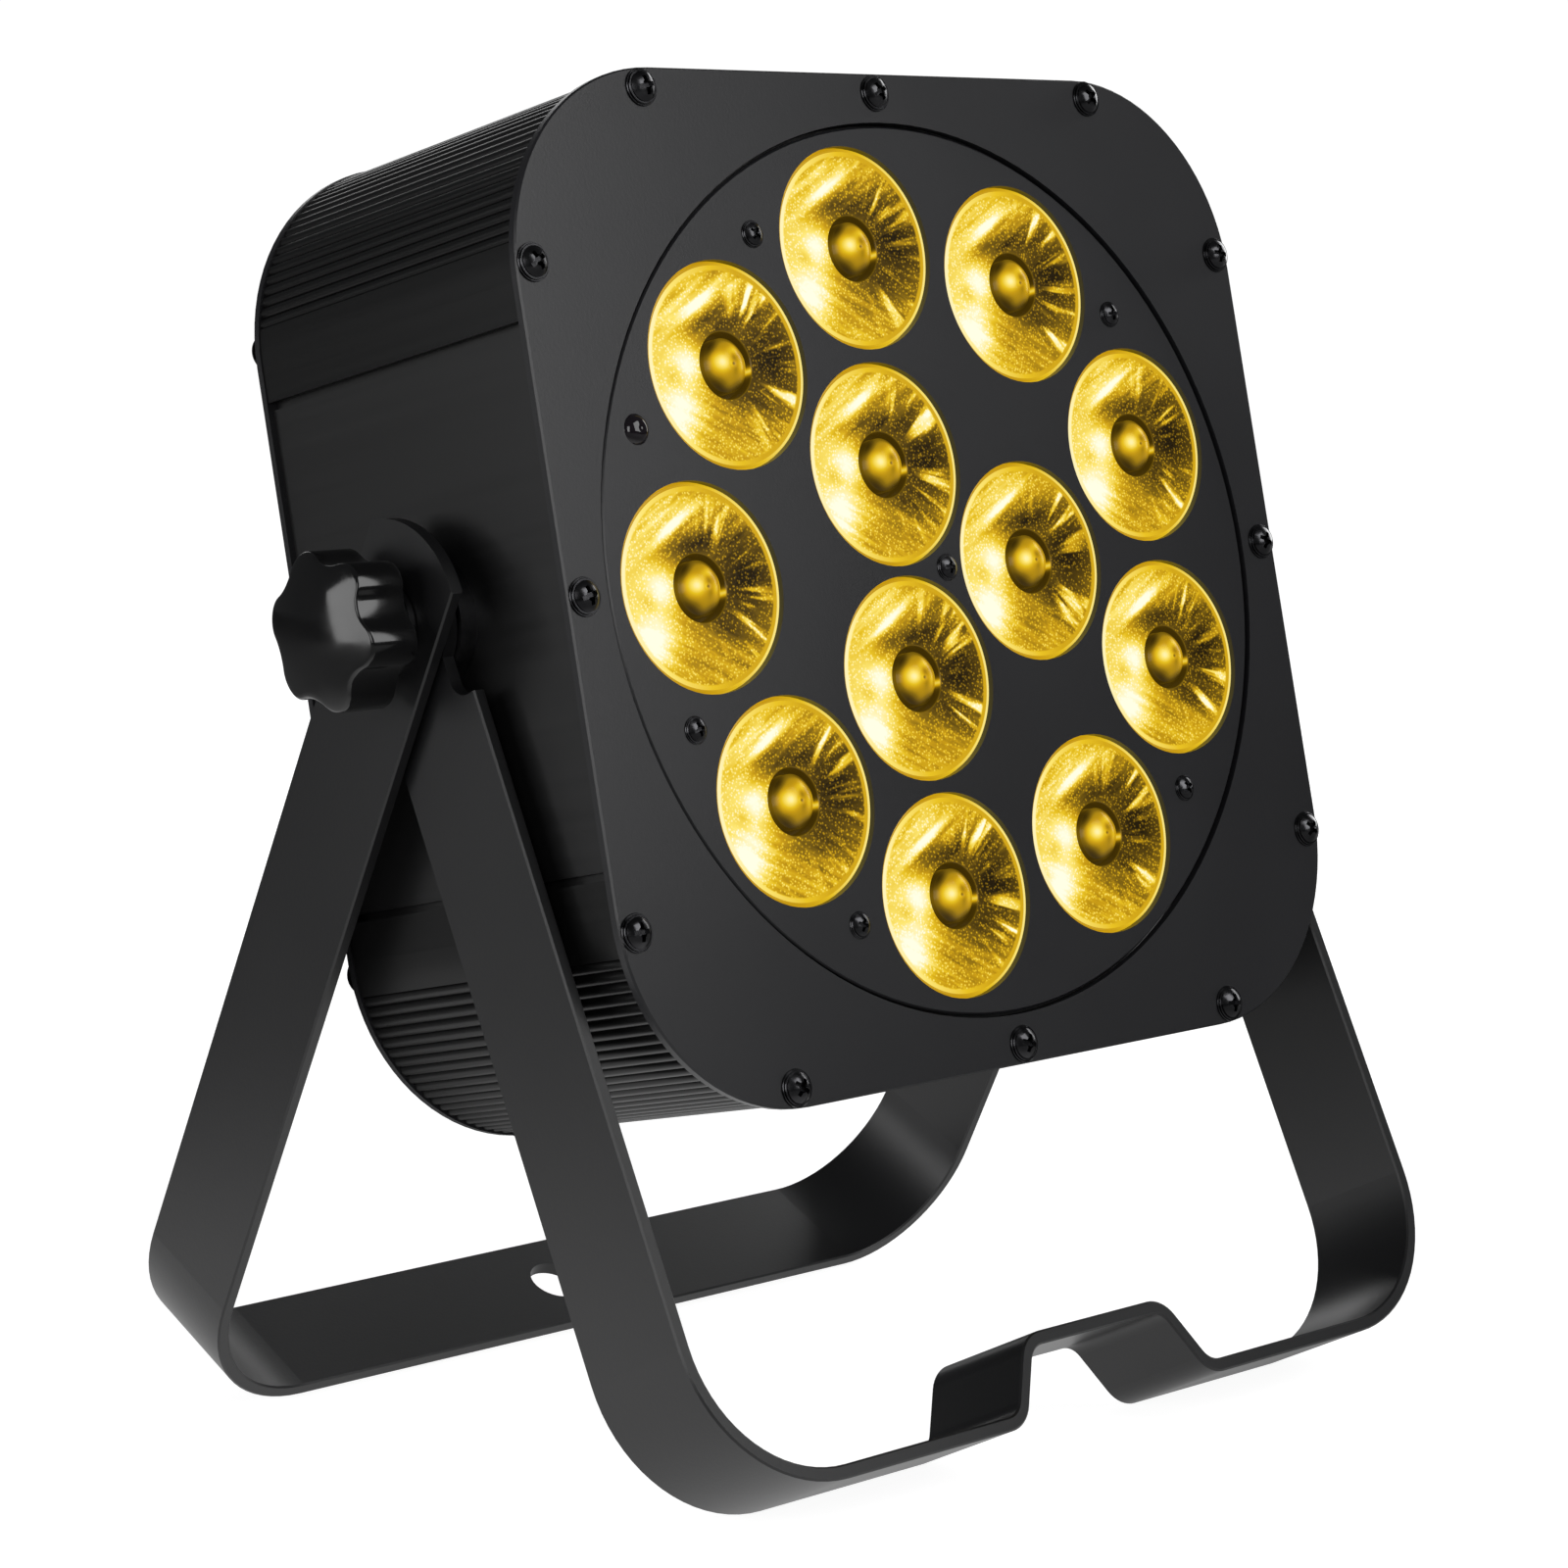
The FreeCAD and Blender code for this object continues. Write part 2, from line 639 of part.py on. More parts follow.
def fan_rotor():
    """Hub cup with seven pitched blades, turning on the frame's pin."""
    cx, cz = FAN_CENTRE
    y0, y1 = BODY_BACK - FAN_DEPTH + 3.0, BODY_BACK - 4.0
    hub = rod(17.0, y0, y1, cx, cz)
    blades = []
    for k in range(7):
        blade = box(cx + 15.0, cx + 36.5, -0.75, 0.75, cz - 9.0, cz + 9.0)
        blade.rotate(V(cx, 0, cz), V(1, 0, 0), 38.0)
        blade.translate(V(0, (y0 + y1) / 2, 0))
        blade.rotate(V(cx, 0, cz), V(0, 1, 0), 360.0 * k / 7)
        blades.append(blade)
    limit = rod(36.8, y0, y1, cx, cz)
    rotor = hub.multiFuse(blades).common(limit)
    return cut(rotor, [rod(1.5 + STUD_CLEARANCE, y0 + 1.5, y1 + 1, cx, cz)])


def rear_fitting_screws():
    """Fan, connector and safety bracket screws."""
    one = face_back(screw(SMALL_SCREW_R, 2.9, SMALL_HEAD_H, 8.0))
    screws = [at(one, x, REAR_FACE, z) for x, z in fan_screw_places()]
    for x in (DMX_IN_X, DMX_OUT_X):
        for dx, dz in ((-9.5, 12.0), (9.5, -12.0)):
            screws.append(at(one, x + dx, REAR_FACE + FLANGE_T, SOCKET_ROW + dz))
    for x in (-10.0, 10.0):
        screws.append(at(one, x, REAR_FACE + SAFETY_T, SAFETY_UP))
    return group(screws)


def display_window():
    dx, dz = DISPLAY_AT
    return box(dx - 18.8, dx + 18.8, BODY_BACK - 1.2, REAR_FACE - 0.4, dz - 7.8, dz + 7.8)


DISPLAY_BOARD_BACK = BODY_BACK - 5.0


def display_board():
    """Board with the display module and one switch body under each button."""
    y1 = DISPLAY_BOARD_BACK
    solid = box(-58.0, 62.0, y1 - 1.6, y1, DISPLAY_AT[1] - 12.0, DISPLAY_AT[1] + 12.0)
    dx, dz = DISPLAY_AT
    module = box(dx - 17.0, dx + 17.0, y1 - 0.5, BODY_BACK - 1.3, dz - 6.5, dz + 6.5)
    switches = [box(x - 3, x + 3, y1 - 0.5, y1 + 0.6, BUTTON_UP - 3, BUTTON_UP + 3) for x in BUTTON_XS]
    posts = [rod(2.5, y1 - 0.5, BODY_BACK, x, DISPLAY_AT[1] + z) for x in (-55.0, 59.0) for z in (-9, 9)]
    return solid.multiFuse([module] + switches + posts)


def button(x):
    """Round cap with a collar behind the plate; its stem stops above the switch."""
    stem_end = DISPLAY_BOARD_BACK + 0.6 + BUTTON_TRAVEL + RUN_GAP
    collar = BODY_BACK - RUN_GAP
    top = REAR_FACE + 1.8
    return turned([(0.0, stem_end), (1.8, stem_end), (1.8, collar - 0.8), (BUTTON_R + 0.9, collar - 0.8),
                   (BUTTON_R + 0.9, collar), (BUTTON_R, collar), (BUTTON_R, top - 0.5),
                   (BUTTON_R - 0.5, top), (0.0, top)], x, BUTTON_UP)


FLANGE_T = 2.0
SAFETY_T = 2.5


def socket_flange(x):
    """Square flange with cut corners of a round panel connector, and its barrel behind."""
    w, h, c = 13.0, 15.5, 2.0
    z = SOCKET_ROW
    steps = [(x - w, z - h + c), (x - w, z + h - c), (x - w + c, z + h), (x + w - c, z + h),
             (x + w, z + h - c), (x + w, z - h + c), (x + w - c, z - h), (x - w + c, z - h)]
    solid = plate(steps, REAR_FACE, REAR_FACE + FLANGE_T)
    solid = solid.fuse(rod(11.7, REAR_FACE - 20.0, REAR_FACE + 0.5, x, z))
    holes = []
    for dx, dz in ((-9.5, 12.0), (9.5, -12.0)):
        holes.append(rod(SMALL_SCREW_R + 0.1, REAR_FACE - 1, REAR_FACE + 5, x + dx, z + dz))
    return cut(solid, holes)


def dmx_in_socket():
    """Recessed socket with three pins."""
    x, z = DMX_IN_X, SOCKET_ROW
    y1 = REAR_FACE + FLANGE_T
    solid = cut(socket_flange(x), [rod(9.4, REAR_FACE - 14.0, y1 + 1, x, z)])
    pins = []
    for angle in (90.0, 210.0, 330.0):
        px, pz = polar(5.6, angle)
        pins.append(rod(1.2, REAR_FACE - 14.5, REAR_FACE - 2.0, x + px, z + pz))
    return solid.multiFuse(pins)


def dmx_out_socket():
    """Socket with an insert, three contact holes and a notch for the latch."""
    x, z = DMX_OUT_X, SOCKET_ROW
    y1 = REAR_FACE + FLANGE_T
    solid = cut(socket_flange(x), [rod(9.4, REAR_FACE - 14.0, y1 + 1, x, z)])
    solid = solid.fuse(rod(7.6, REAR_FACE - 14.5, REAR_FACE + 0.6, x, z))
    holes = []
    for angle in (30.0, 150.0, 270.0):
        px, pz = polar(4.6, angle)
        holes.append(rod(1.5, REAR_FACE - 11.0, y1 + 1, x + px, z + pz))
    holes.append(box(x - 3.3, x + 3.3, REAR_FACE - 10.0, y1 + 1, z + 9.0, z + 13.3))
    return cut(solid, holes)


def dmx_latch():
    """Push tab above the output socket; it moves inwards."""
    x, z = DMX_OUT_X, SOCKET_ROW
    y1 = REAR_FACE + FLANGE_T + 1.8
    return box(x - 3.0, x + 3.0, REAR_FACE - 7.0, y1, z + 9.8, z + 13.0)


def mains_body(x):
    """Flanged block of a snap-in appliance connector."""
    z = SOCKET_ROW
    flange = box(x - 16.0, x + 16.0, REAR_FACE, REAR_FACE + FLANGE_T, z - 12.5, z + 12.5)
    flange = flange.makeFillet(3.0, [e for e in flange.Edges if abs(e.tangentAt(0).y) > 0.9])
    block = box(x - 13.8, x + 13.8, REAR_FACE - 22.0, REAR_FACE + 0.5, z - 10.3, z + 10.3)
    return flange.fuse(block)


def mains_inlet():
    """Recess with three blade pins."""
    x, z = MAINS_IN_X, SOCKET_ROW
    y1 = REAR_FACE + FLANGE_T
    recess = box(x - 12.2, x + 12.2, REAR_FACE - 15.0, y1 + 1, z - 8.2, z + 8.2)
    recess = recess.makeChamfer(4.0, [e for e in recess.Edges if abs(e.tangentAt(0).y) > 0.9
                                      and e.CenterOfMass.z > z])
    pins = [box(x + dx - 1.0, x + dx + 1.0, REAR_FACE - 15.5, REAR_FACE - 1.0, z + dz - 2.0, z + dz + 2.0)
            for dx, dz in ((-7.0, -2.0), (7.0, -2.0), (0.0, 2.0))]
    return cut(mains_body(x), [recess]).multiFuse(pins)


def mains_outlet():
    """Block flush with its flange, ringed by a channel, with three contact slots."""
    x, z = MAINS_OUT_X, SOCKET_ROW
    y1 = REAR_FACE + FLANGE_T
    channel = box(x - 12.2, x + 12.2, REAR_FACE - 15.0, y1 + 1, z - 8.2, z + 8.2)
    core = box(x - 10.0, x + 10.0, REAR_FACE - 15.5, y1, z - 6.0, z + 6.0)
    slots = [box(x + dx - 1.2, x + dx + 1.2, REAR_FACE - 13.0, y1 + 1, z + dz - 2.2, z + dz + 2.2)
             for dx, dz in ((-6.5, -1.5), (6.5, -1.5), (0.0, 2.0))]
    return cut(mains_body(x).cut(channel).fuse(core), slots)


def fuse_holder():
    """Screw-in cap with a driver slot."""
    x, z = FUSE_X, SOCKET_ROW
    y = REAR_FACE
    solid = turned([(0.0, y - 26.0), (5.6, y - 26.0), (5.6, y), (8.0, y), (8.0, y + 2.0), (6.4, y + 2.0),
                    (6.0, y + 6.0), (0.0, y + 6.0)], x, z)
    return cut(solid, [box(x - 4.0, x + 4.0, y + 5.0, y + 7.0, z - 0.6, z + 0.6)])


def safety_bracket():
    """Angle with a hole for the safety wire."""
    y0 = REAR_FACE
    t = SAFETY_T
    z = SAFETY_UP
    base = box(-15.0, 15.0, y0, y0 + t, z - 6.5, z + 6.5)
    ear = box(-t / 2, t / 2, y0 + t - 0.5, y0 + 14.0, z - 6.5, z + 6.5)
    nose = Part.makeCylinder(6.5, t, V(-t / 2, y0 + 14.0, z), V(1, 0, 0))
    holes = [rod(SMALL_SCREW_R + 0.1, y0 - 1, y0 + 5, x, z) for x in (-10.0, 10.0)]
    eye = Part.makeCylinder(SAFETY_HOLE_R, t + 2, V(-t / 2 - 1, y0 + 14.0, z), V(1, 0, 0))
    return cut(base.multiFuse([ear, nose]), holes + [eye])


def power_supply():
    """Ventilated metal case on the rear plate, left of the fan."""
    x0, x1, y0, y1 = -101.0, -46.0, 58.0, BODY_BACK
    case = box(x0, x1, y0, y1, -44.0, 44.0)
    inside = box(x0 + 1.5, x1 - 1.5, y0 + 1.5, y1 - 1.5, -42.5, 42.5)
    slots = [box(x0 + 10, x1 - 10, y0 - 1, y0 + 2, z - 1.5, z + 1.5) for z in range(-30, 31, 12)]
    vents = [box(x0 + 8, x1 - 8, y1 - 2, y1 + 1, z - 3, z + 3) for z in range(-24, 37, 20)]
    return cut(case, [inside] + slots + vents)


def driver_board():
    """Control board on four posts, right of the fan, with its tall parts."""
    y0, y1 = 72.0, 73.6
    solid = box(46.0, 100.0, y0, y1, -44.0, 44.0)
    parts = [rod(2.5, y1 - 0.5, BODY_BACK, x, z) for x in (50.0, 96.0) for z in (-40.0, 40.0)]
    parts += [rod(5.0, y0 - 14.0, y0 + 0.5, 56.0 + 12.0 * k, 30.0) for k in range(3)]
    parts.append(box(58.0, 78.0, y0 - 3.0, y0 + 0.5, -20.0, 0.0))
    parts += [box(86.0, 94.0, y0 - 10.0, y0 + 0.5, z - 6.0, z + 6.0) for z in (-25.0, -8.0, 9.0)]
    return solid.multiFuse(parts)


# ---- Yokes and knobs --------------------------------------------------------------------------------
BOSS_R = 14.7
BOSS_SHANK_R = 7.0
YOKE_INSIDE = FRONT_YOKE_HALF - STRIP_T
BOSS_FACE = YOKE_INSIDE - RUN_GAP
THREAD_PITCH = 1.25
PIVOT_HOLE_R = STUD_R + 0.1
WASHER_R = 9.5
WASHER_FACE = REAR_HALF + RUN_GAP
WASHER_T = 1.4
HUB_START = WASHER_FACE + WASHER_T + 0.2
STUD_END = KNOB_HEAD_END - 8.0


def pivot_boss_right():
    """Threaded boss on the side panel: flange outside, shank inside."""
    flange = axle(BOSS_R, PANEL_FACE, BOSS_FACE)
    shank = axle(BOSS_SHANK_R, 94.0, PANEL_FACE)
    return cut(flange.fuse(shank), [axle(STUD_R + STUD_CLEARANCE, 93.0, BOSS_FACE + 1)])


def hang(shape):
    """From the yoke's own frame, pivot at the origin and arms down, to the pivot."""
    return at(shape, 0.0, PIVOT_BACK, PIVOT_UP)


def turn_yoke(shape, degrees):
    """Swing about the pivot axis; positive swings the crossbar to the back."""
    shape.rotate(V(0, PIVOT_BACK, PIVOT_UP), V(1, 0, 0), degrees)
    return shape


def broken_edges(shape):
    """Chamfer the strip's long edges."""
    half = STRIP_W / 2
    edges = [e for e in shape.Edges if abs(abs(e.CenterOfMass.y) - half) < 0.01]
    return shape.makeChamfer(EDGE_BREAK, edges)


def side_window(steps):
    """Outline in y-z, as a block across the whole yoke."""
    face = closed_face(steps, lambda p: V(-200.0, p[0], p[1]))
    return face.extrude(V(400.0, 0, 0))


def rear_bracket():
    x = REAR_HALF - STRIP_T / 2
    low = -REAR_REACH + STRIP_T / 2
    bend = REAR_BEND - STRIP_T / 2
    solid = strip([(-x, 30.0), (-x, low), (x, low), (x, 30.0)], [bend, bend], STRIP_W / 2)
    solid = broken_edges(solid)
    half = STRIP_W / 2 + 1
    top = math.sqrt(REAR_EAR_R ** 2 - half ** 2)
    window = side_window([(-half, -REAR_REACH - 5), (-half, top), ((0.0, REAR_EAR_R), (half, top)),
                          (half, -REAR_REACH - 5)])
    solid = solid.common(window)
    clamp = Part.makeCylinder(CLAMP_HOLE_R, 10, V(0, 0, -REAR_REACH - 5), V(0, 0, 1))
    pivot = Part.makeCylinder(PIVOT_HOLE_R, 400, V(-200, 0, 0), V(1, 0, 0))
    return turn_yoke(hang(cut(solid, [clamp, pivot])), REAR_SPLAY + TILT)


def front_bracket():
    x = FRONT_YOKE_HALF - STRIP_T / 2
    low = -FRONT_YOKE_REACH + STRIP_T / 2
    bend = FRONT_YOKE_BEND - STRIP_T / 2
    high = low + HAT_RISE
    solid = strip([(-x, 30.0), (-x, low), (-HAT_FOOT_HALF, low), (-HAT_TOP_HALF, high),
                   (HAT_TOP_HALF, high), (HAT_FOOT_HALF, low), (x, low), (x, 30.0)],
                  [bend, HAT_BEND, HAT_BEND, HAT_BEND, HAT_BEND, bend], STRIP_W / 2)
    solid = broken_edges(solid)
    half = STRIP_W / 2 + 1
    base = -FRONT_YOKE_REACH - 5
    ear = math.sqrt(FRONT_EAR_R ** 2 - NECK_HALF ** 2)
    notch = NECK_FILLET * (1 - math.sqrt(0.5))
    left = [(-half, base), (-half, -SHOULDER), (-NECK_HALF - NECK_FILLET, -SHOULDER),
            ((-NECK_HALF - notch, -SHOULDER + notch), (-NECK_HALF, -SHOULDER + NECK_FILLET)),
            (-NECK_HALF, -ear)]
    right = [((NECK_HALF + notch, -SHOULDER + notch), (NECK_HALF + NECK_FILLET, -SHOULDER)),
             (half, -SHOULDER), (half, base)]
    window = side_window(left + [((0.0, FRONT_EAR_R), (NECK_HALF, -ear)),
                                 (NECK_HALF, -SHOULDER + NECK_FILLET)] + right)
    solid = solid.common(window)
    pivot = Part.makeCylinder(PIVOT_HOLE_R, 400, V(-200, 0, 0), V(1, 0, 0))
    return turn_yoke(hang(cut(solid, [pivot])), -FRONT_SPLAY + TILT)


def bracket_washers():
    """Thin rings between the two yokes, riding on the rear one."""
    x0, x1 = FRONT_YOKE_HALF + RUN_GAP, REAR_HALF - STRIP_T
    one = cut(axle(11.0, x0, x1), [axle(PIVOT_HOLE_R, x0 - 1, x1 + 1)])
    return group([one, mirrored(one)])


def knob_washer_right():
    x0, x1 = WASHER_FACE, WASHER_FACE + WASHER_T
    return cut(axle(WASHER_R, x0, x1), [axle(PIVOT_HOLE_R, x0 - 1, x1 + 1)])


def knob_right():
    """Lobed head, domed outside, on a round hub; lobe and valley arcs meet tangentially."""
    lobe = KNOB_LOBE_ARC
    centre = KNOB_R - lobe
    half_step = 180.0 / KNOB_LOBES
    inner = KNOB_VALLEY_R - lobe
    across = 2 * centre * math.cos(math.radians(half_step))
    far = (centre ** 2 - inner ** 2) / (across - 2 * inner)
    valley = far - KNOB_VALLEY_R

    def joint(k, side):
        """Where a lobe's arc meets the valley's arc on one side."""
        ax, az = polar(centre, k * 2 * half_step)
        bx, bz = polar(far, k * 2 * half_step + side * half_step)
        share = lobe / (lobe + valley)
        return ax + (bx - ax) * share, az + (bz - az) * share

    steps = [joint(0, -1)]
    for k in range(KNOB_LOBES):
        steps.append((polar(KNOB_R, k * 2 * half_step), joint(k, 1)))
        steps.append((polar(KNOB_VALLEY_R, (2 * k + 1) * half_step), joint(k + 1, -1)))
    steps[-1] = (steps[-1][0], steps[0])
    face = closed_face(steps, lambda p: V(KNOB_HEAD_START, PIVOT_BACK + p[0], PIVOT_UP + p[1]))
    head = face.extrude(V(KNOB_HEAD_END - KNOB_HEAD_START, 0, 0))
    ball_r = (KNOB_R ** 2 + KNOB_DOME ** 2) / (2 * KNOB_DOME)
    ball = Part.makeSphere(ball_r, V(KNOB_HEAD_END - ball_r, PIVOT_BACK, PIVOT_UP))
    head = head.common(ball)
    hub = axle(HUB_R, HUB_START, KNOB_HEAD_START + 0.5)
    knob = head.fuse(hub)
    knob.rotate(V(0, PIVOT_BACK, PIVOT_UP), V(1, 0, 0), KNOB_PHASE)
    return cut(knob, [axle(STUD_R, HUB_START - 1, STUD_END)])


def knob_stud_right():
    return axle(STUD_R, 97.0, STUD_END)


# ---- Standing pose ------------------------------------------------------------------------------------
# The rear crossbar's front edge and the front crossbar's back edge rest on the floor.
FOOT = STRIP_W / 2 - EDGE_BREAK
REAR_DROP = math.radians(REAR_SPLAY)
PIVOT_HEIGHT = REAR_REACH * math.cos(REAR_DROP) + FOOT * math.sin(REAR_DROP)
FRONT_DIAGONAL = math.hypot(FRONT_YOKE_REACH, FOOT)
FRONT_SPLAY = math.degrees(math.acos(PIVOT_HEIGHT / FRONT_DIAGONAL) + math.atan(FOOT / FRONT_YOKE_REACH))

TOP_SHELL = top_shell()
SIDE_PANEL = side_panel_left()
BOSS = pivot_boss_right()
KNOB = knob_right()
STUD = knob_stud_right()
KNOB_WASHER = knob_washer_right()

NODES = {
    "front_plate": front_plate(),
    "front_gasket": front_gasket(),
    "front_plate_screws": front_plate_screws(),
    "lens_plate": lens_plate(),
    "lens_plate_seal": lens_plate_seal(),
    "lens_plate_screws": lens_plate_screws(),
    "lens_plate_standoffs": lens_plate_standoffs(),
    "sensor_window": sensor_window(),
    "optic_tray": optic_tray(),
    "led_board": led_board(),
    "led_emitters": led_emitters(),
    "heatsink": heatsink(),
    "top_shell": TOP_SHELL,
    "bottom_shell": bottom_shell(),
    "side_panel_left": SIDE_PANEL,
    "side_panel_right": mirrored(SIDE_PANEL),
    "rear_plate": rear_plate(),
    "rear_plate_screws": rear_plate_screws(),
    "rear_fitting_screws": rear_fitting_screws(),
    "fan_frame": fan_frame(),
    "fan_rotor": fan_rotor(),
    "power_supply": power_supply(),
    "driver_board": driver_board(),
    "display_window": display_window(),
    "display_board": display_board(),
    "dmx_in_socket": dmx_in_socket(),
    "dmx_out_socket": dmx_out_socket(),
    "dmx_latch": dmx_latch(),
    "mains_inlet": mains_inlet(),
    "mains_outlet": mains_outlet(),
    "fuse_holder": fuse_holder(),
    "safety_bracket": safety_bracket(),
    "pivot_boss_left": mirrored(BOSS),
    "pivot_boss_right": BOSS,
    "front_bracket": front_bracket(),
    "rear_bracket": rear_bracket(),
    "bracket_washers": bracket_washers(),
    "knob_washer_left": mirrored(KNOB_WASHER),
    "knob_washer_right": KNOB_WASHER,
    "knob_left": mirrored(KNOB),
    "knob_right": KNOB,
    "knob_stud_left": mirrored(STUD),
    "knob_stud_right": STUD,
}
for number, place in enumerate(lens_places(), start=1):
    NODES["lens_%02d" % number] = lens(*place)
for name, button_x in zip(("menu_button", "down_button", "up_button", "enter_button"), BUTTON_XS):
    NODES[name] = button(button_x)


def stand(shape):
    """Tip the fixture back about the pivot axis and lift the pivot to its height."""
    placed = shape.copy()
    placed.translate(V(0, -PIVOT_BACK, -PIVOT_UP))
    placed.rotate(V(0, 0, 0), V(1, 0, 0), -TILT)
    placed.translate(V(0, 0, PIVOT_HEIGHT))
    return placed


STANDING = {name: stand(shape) for name, shape in NODES.items()}
BOXES = [shape.BoundBox for shape in STANDING.values()]
CENTRE_Y = (min(b.YMin for b in BOXES) + max(b.YMax for b in BOXES)) / 2

os.makedirs("parts", exist_ok=True)
for name, shape in STANDING.items():
    shape.translate(V(0, -CENTRE_Y, 0))
    shape.exportStep("parts/%s.step" % name)
    if not shape.isValid():
        print("invalid shape:", name)
print("pieces %d, pivot at y %.4f z %.4f, front splay %.4f" % (len(STANDING), -CENTRE_Y, PIVOT_HEIGHT,
                                                              FRONT_SPLAY))
print("lowest point %.4f" % min(b.ZMin for b in BOXES))
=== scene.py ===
import json
import math

import bmesh
import bpy
from mathutils import Matrix, Vector


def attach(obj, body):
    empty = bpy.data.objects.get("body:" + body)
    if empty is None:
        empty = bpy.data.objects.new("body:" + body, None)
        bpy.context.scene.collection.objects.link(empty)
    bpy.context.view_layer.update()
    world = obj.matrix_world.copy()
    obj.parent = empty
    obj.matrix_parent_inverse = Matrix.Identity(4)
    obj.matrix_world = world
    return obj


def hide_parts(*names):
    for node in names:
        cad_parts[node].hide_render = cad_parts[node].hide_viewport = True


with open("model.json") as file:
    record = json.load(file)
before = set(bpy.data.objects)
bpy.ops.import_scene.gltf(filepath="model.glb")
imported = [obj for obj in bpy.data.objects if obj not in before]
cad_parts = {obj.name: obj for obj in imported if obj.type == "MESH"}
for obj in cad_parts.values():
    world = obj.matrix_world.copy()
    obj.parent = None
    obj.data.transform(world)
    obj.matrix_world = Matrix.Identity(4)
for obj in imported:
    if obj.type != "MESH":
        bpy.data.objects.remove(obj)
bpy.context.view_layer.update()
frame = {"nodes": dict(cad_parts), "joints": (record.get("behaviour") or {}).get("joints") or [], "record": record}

# Square LED par can on its double yoke.
#
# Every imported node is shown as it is, with a material of its own, except the twelve lenses and the two
# star knobs: finer meshes of the same size take their places here, on the same bodies.
#
# Fixture frame: millimetres, x to the right, y from the front plate's face to the back, z up, with the
# origin at the plate's centre.  The light is tipped back about the pivot, so pieces are made with
# fixture(x, y, z), which gives their place in the frame that Blender shares with the CAD.

MM = 0.001
PIVOT_BACK = 46.4
PIVOT_UP = 2.1

joints = {joint["name"]: joint for joint in frame["joints"]}
pivot = Vector(joints["front_yoke_pivot"]["pos_m"])
across = Vector((1, 0, 0))
rearward = Vector(joints["fan_spin"]["axis"]).normalized()
upward = across.cross(rearward)


def fixture(x, y, z):
    """A place in the fixture frame, in metres in the shared frame."""
    return pivot + (across * x + rearward * (y - PIVOT_BACK) + upward * (z - PIVOT_UP)) * MM


def polar(radius, degrees):
    angle = math.radians(degrees)
    return radius * math.cos(angle), radius * math.sin(angle)


# ---- Shader building --------------------------------------------------------------------------------
class Finish:
    """A node material around one Principled shader, with short ways to add and link nodes."""

    def __init__(self, name, **values):
        self.material = bpy.data.materials.new(name)
        self.material.use_nodes = True
        self.tree = self.material.node_tree
        self.tree.nodes.clear()
        self.shader = self.node("ShaderNodeBsdfPrincipled")
        output = self.node("ShaderNodeOutputMaterial")
        self.tree.links.new(self.shader.outputs[0], output.inputs["Surface"])
        for key, value in values.items():
            self.shader.inputs[key.replace("_", " ")].default_value = value

    def node(self, kind, **settings):
        made = self.tree.nodes.new(kind)
        for key, value in settings.items():
            setattr(made, key, value)
        return made

    def put(self, value, socket):
        """Links an output, or sets a plain value."""
        if isinstance(value, bpy.types.NodeSocket):
            self.tree.links.new(value, socket)
        else:
            socket.default_value = value

    def place(self):
        """Coordinates in the shared frame, which stay with the piece as it moves."""
        return self.node("ShaderNodeTexCoord").outputs["Object"]

    def named(self, attribute):
        """A vector stored on the mesh's points."""
        return self.node("ShaderNodeAttribute", attribute_name=attribute).outputs["Vector"]

    def maths(self, operation, first, second=0.0, third=0.0):
        made = self.node("ShaderNodeMath", operation=operation)
        for value, socket in zip((first, second, third), made.inputs):
            self.put(value, socket)
        return made.outputs[0]

    def vector(self, operation, first, second=(0, 0, 0)):
        made = self.node("ShaderNodeVectorMath", operation=operation)
        self.put(first, made.inputs[0])
        self.put(second, made.inputs[1])
        return made.outputs["Value" if operation in ("LENGTH", "DOT_PRODUCT") else "Vector"]

    def split(self, vector):
        made = self.node("ShaderNodeSeparateXYZ")
        self.put(vector, made.inputs[0])
        return made.outputs

    def join(self, x, y, z=0.0):
        made = self.node("ShaderNodeCombineXYZ")
        for value, socket in zip((x, y, z), made.inputs):
            self.put(value, socket)
        return made.outputs[0]

    def noise(self, at, scale, detail=2.0, roughness=0.5):
        made = self.node("ShaderNodeTexNoise")
        for value, key in ((at, "Vector"), (scale, "Scale"), (detail, "Detail"), (roughness, "Roughness")):
            self.put(value, made.inputs[key])
        return made.outputs["Fac"]

    def cells(self, at, scale, feature="F1"):
        made = self.node("ShaderNodeTexVoronoi", feature=feature)
        self.put(at, made.inputs["Vector"])
        self.put(scale, made.inputs["Scale"])
        return made.outputs["Distance"]

    def span(self, value, low, high, to_low=0.0, to_high=1.0, smooth=False):
        """Value mapped from one span to another and held at the ends."""
        made = self.node("ShaderNodeMapRange")
        made.interpolation_type = "SMOOTHSTEP" if smooth else "LINEAR"
        for number, part in zip((value, low, high, to_low, to_high), made.inputs):
            self.put(number, part)
        return made.outputs[0]

    def ramp(self, value, stops):
        """Colour from a value; each stop is (position, colour)."""
        made = self.node("ShaderNodeValToRGB")
        self.put(value, made.inputs[0])
        elements = made.color_ramp.elements
        while len(elements) < len(stops):
            elements.new(0.5)
        for element, (position, colour) in zip(elements, stops):
            element.position = position
            element.color = (*colour, 1.0)
        return made.outputs[0]

    def bump(self, height, distance, strength=1.0):
        made = self.node("ShaderNodeBump")
        self.put(height, made.inputs["Height"])
        self.put(distance, made.inputs["Distance"])
        self.put(strength, made.inputs["Strength"])
        return made.outputs[0]

    def set(self, **sockets):
        for key, value in sockets.items():
            self.put(value, self.shader.inputs[key.replace("_", " ")])
        return self


def scaled(colour, factor):
    return tuple(part * factor for part in colour)


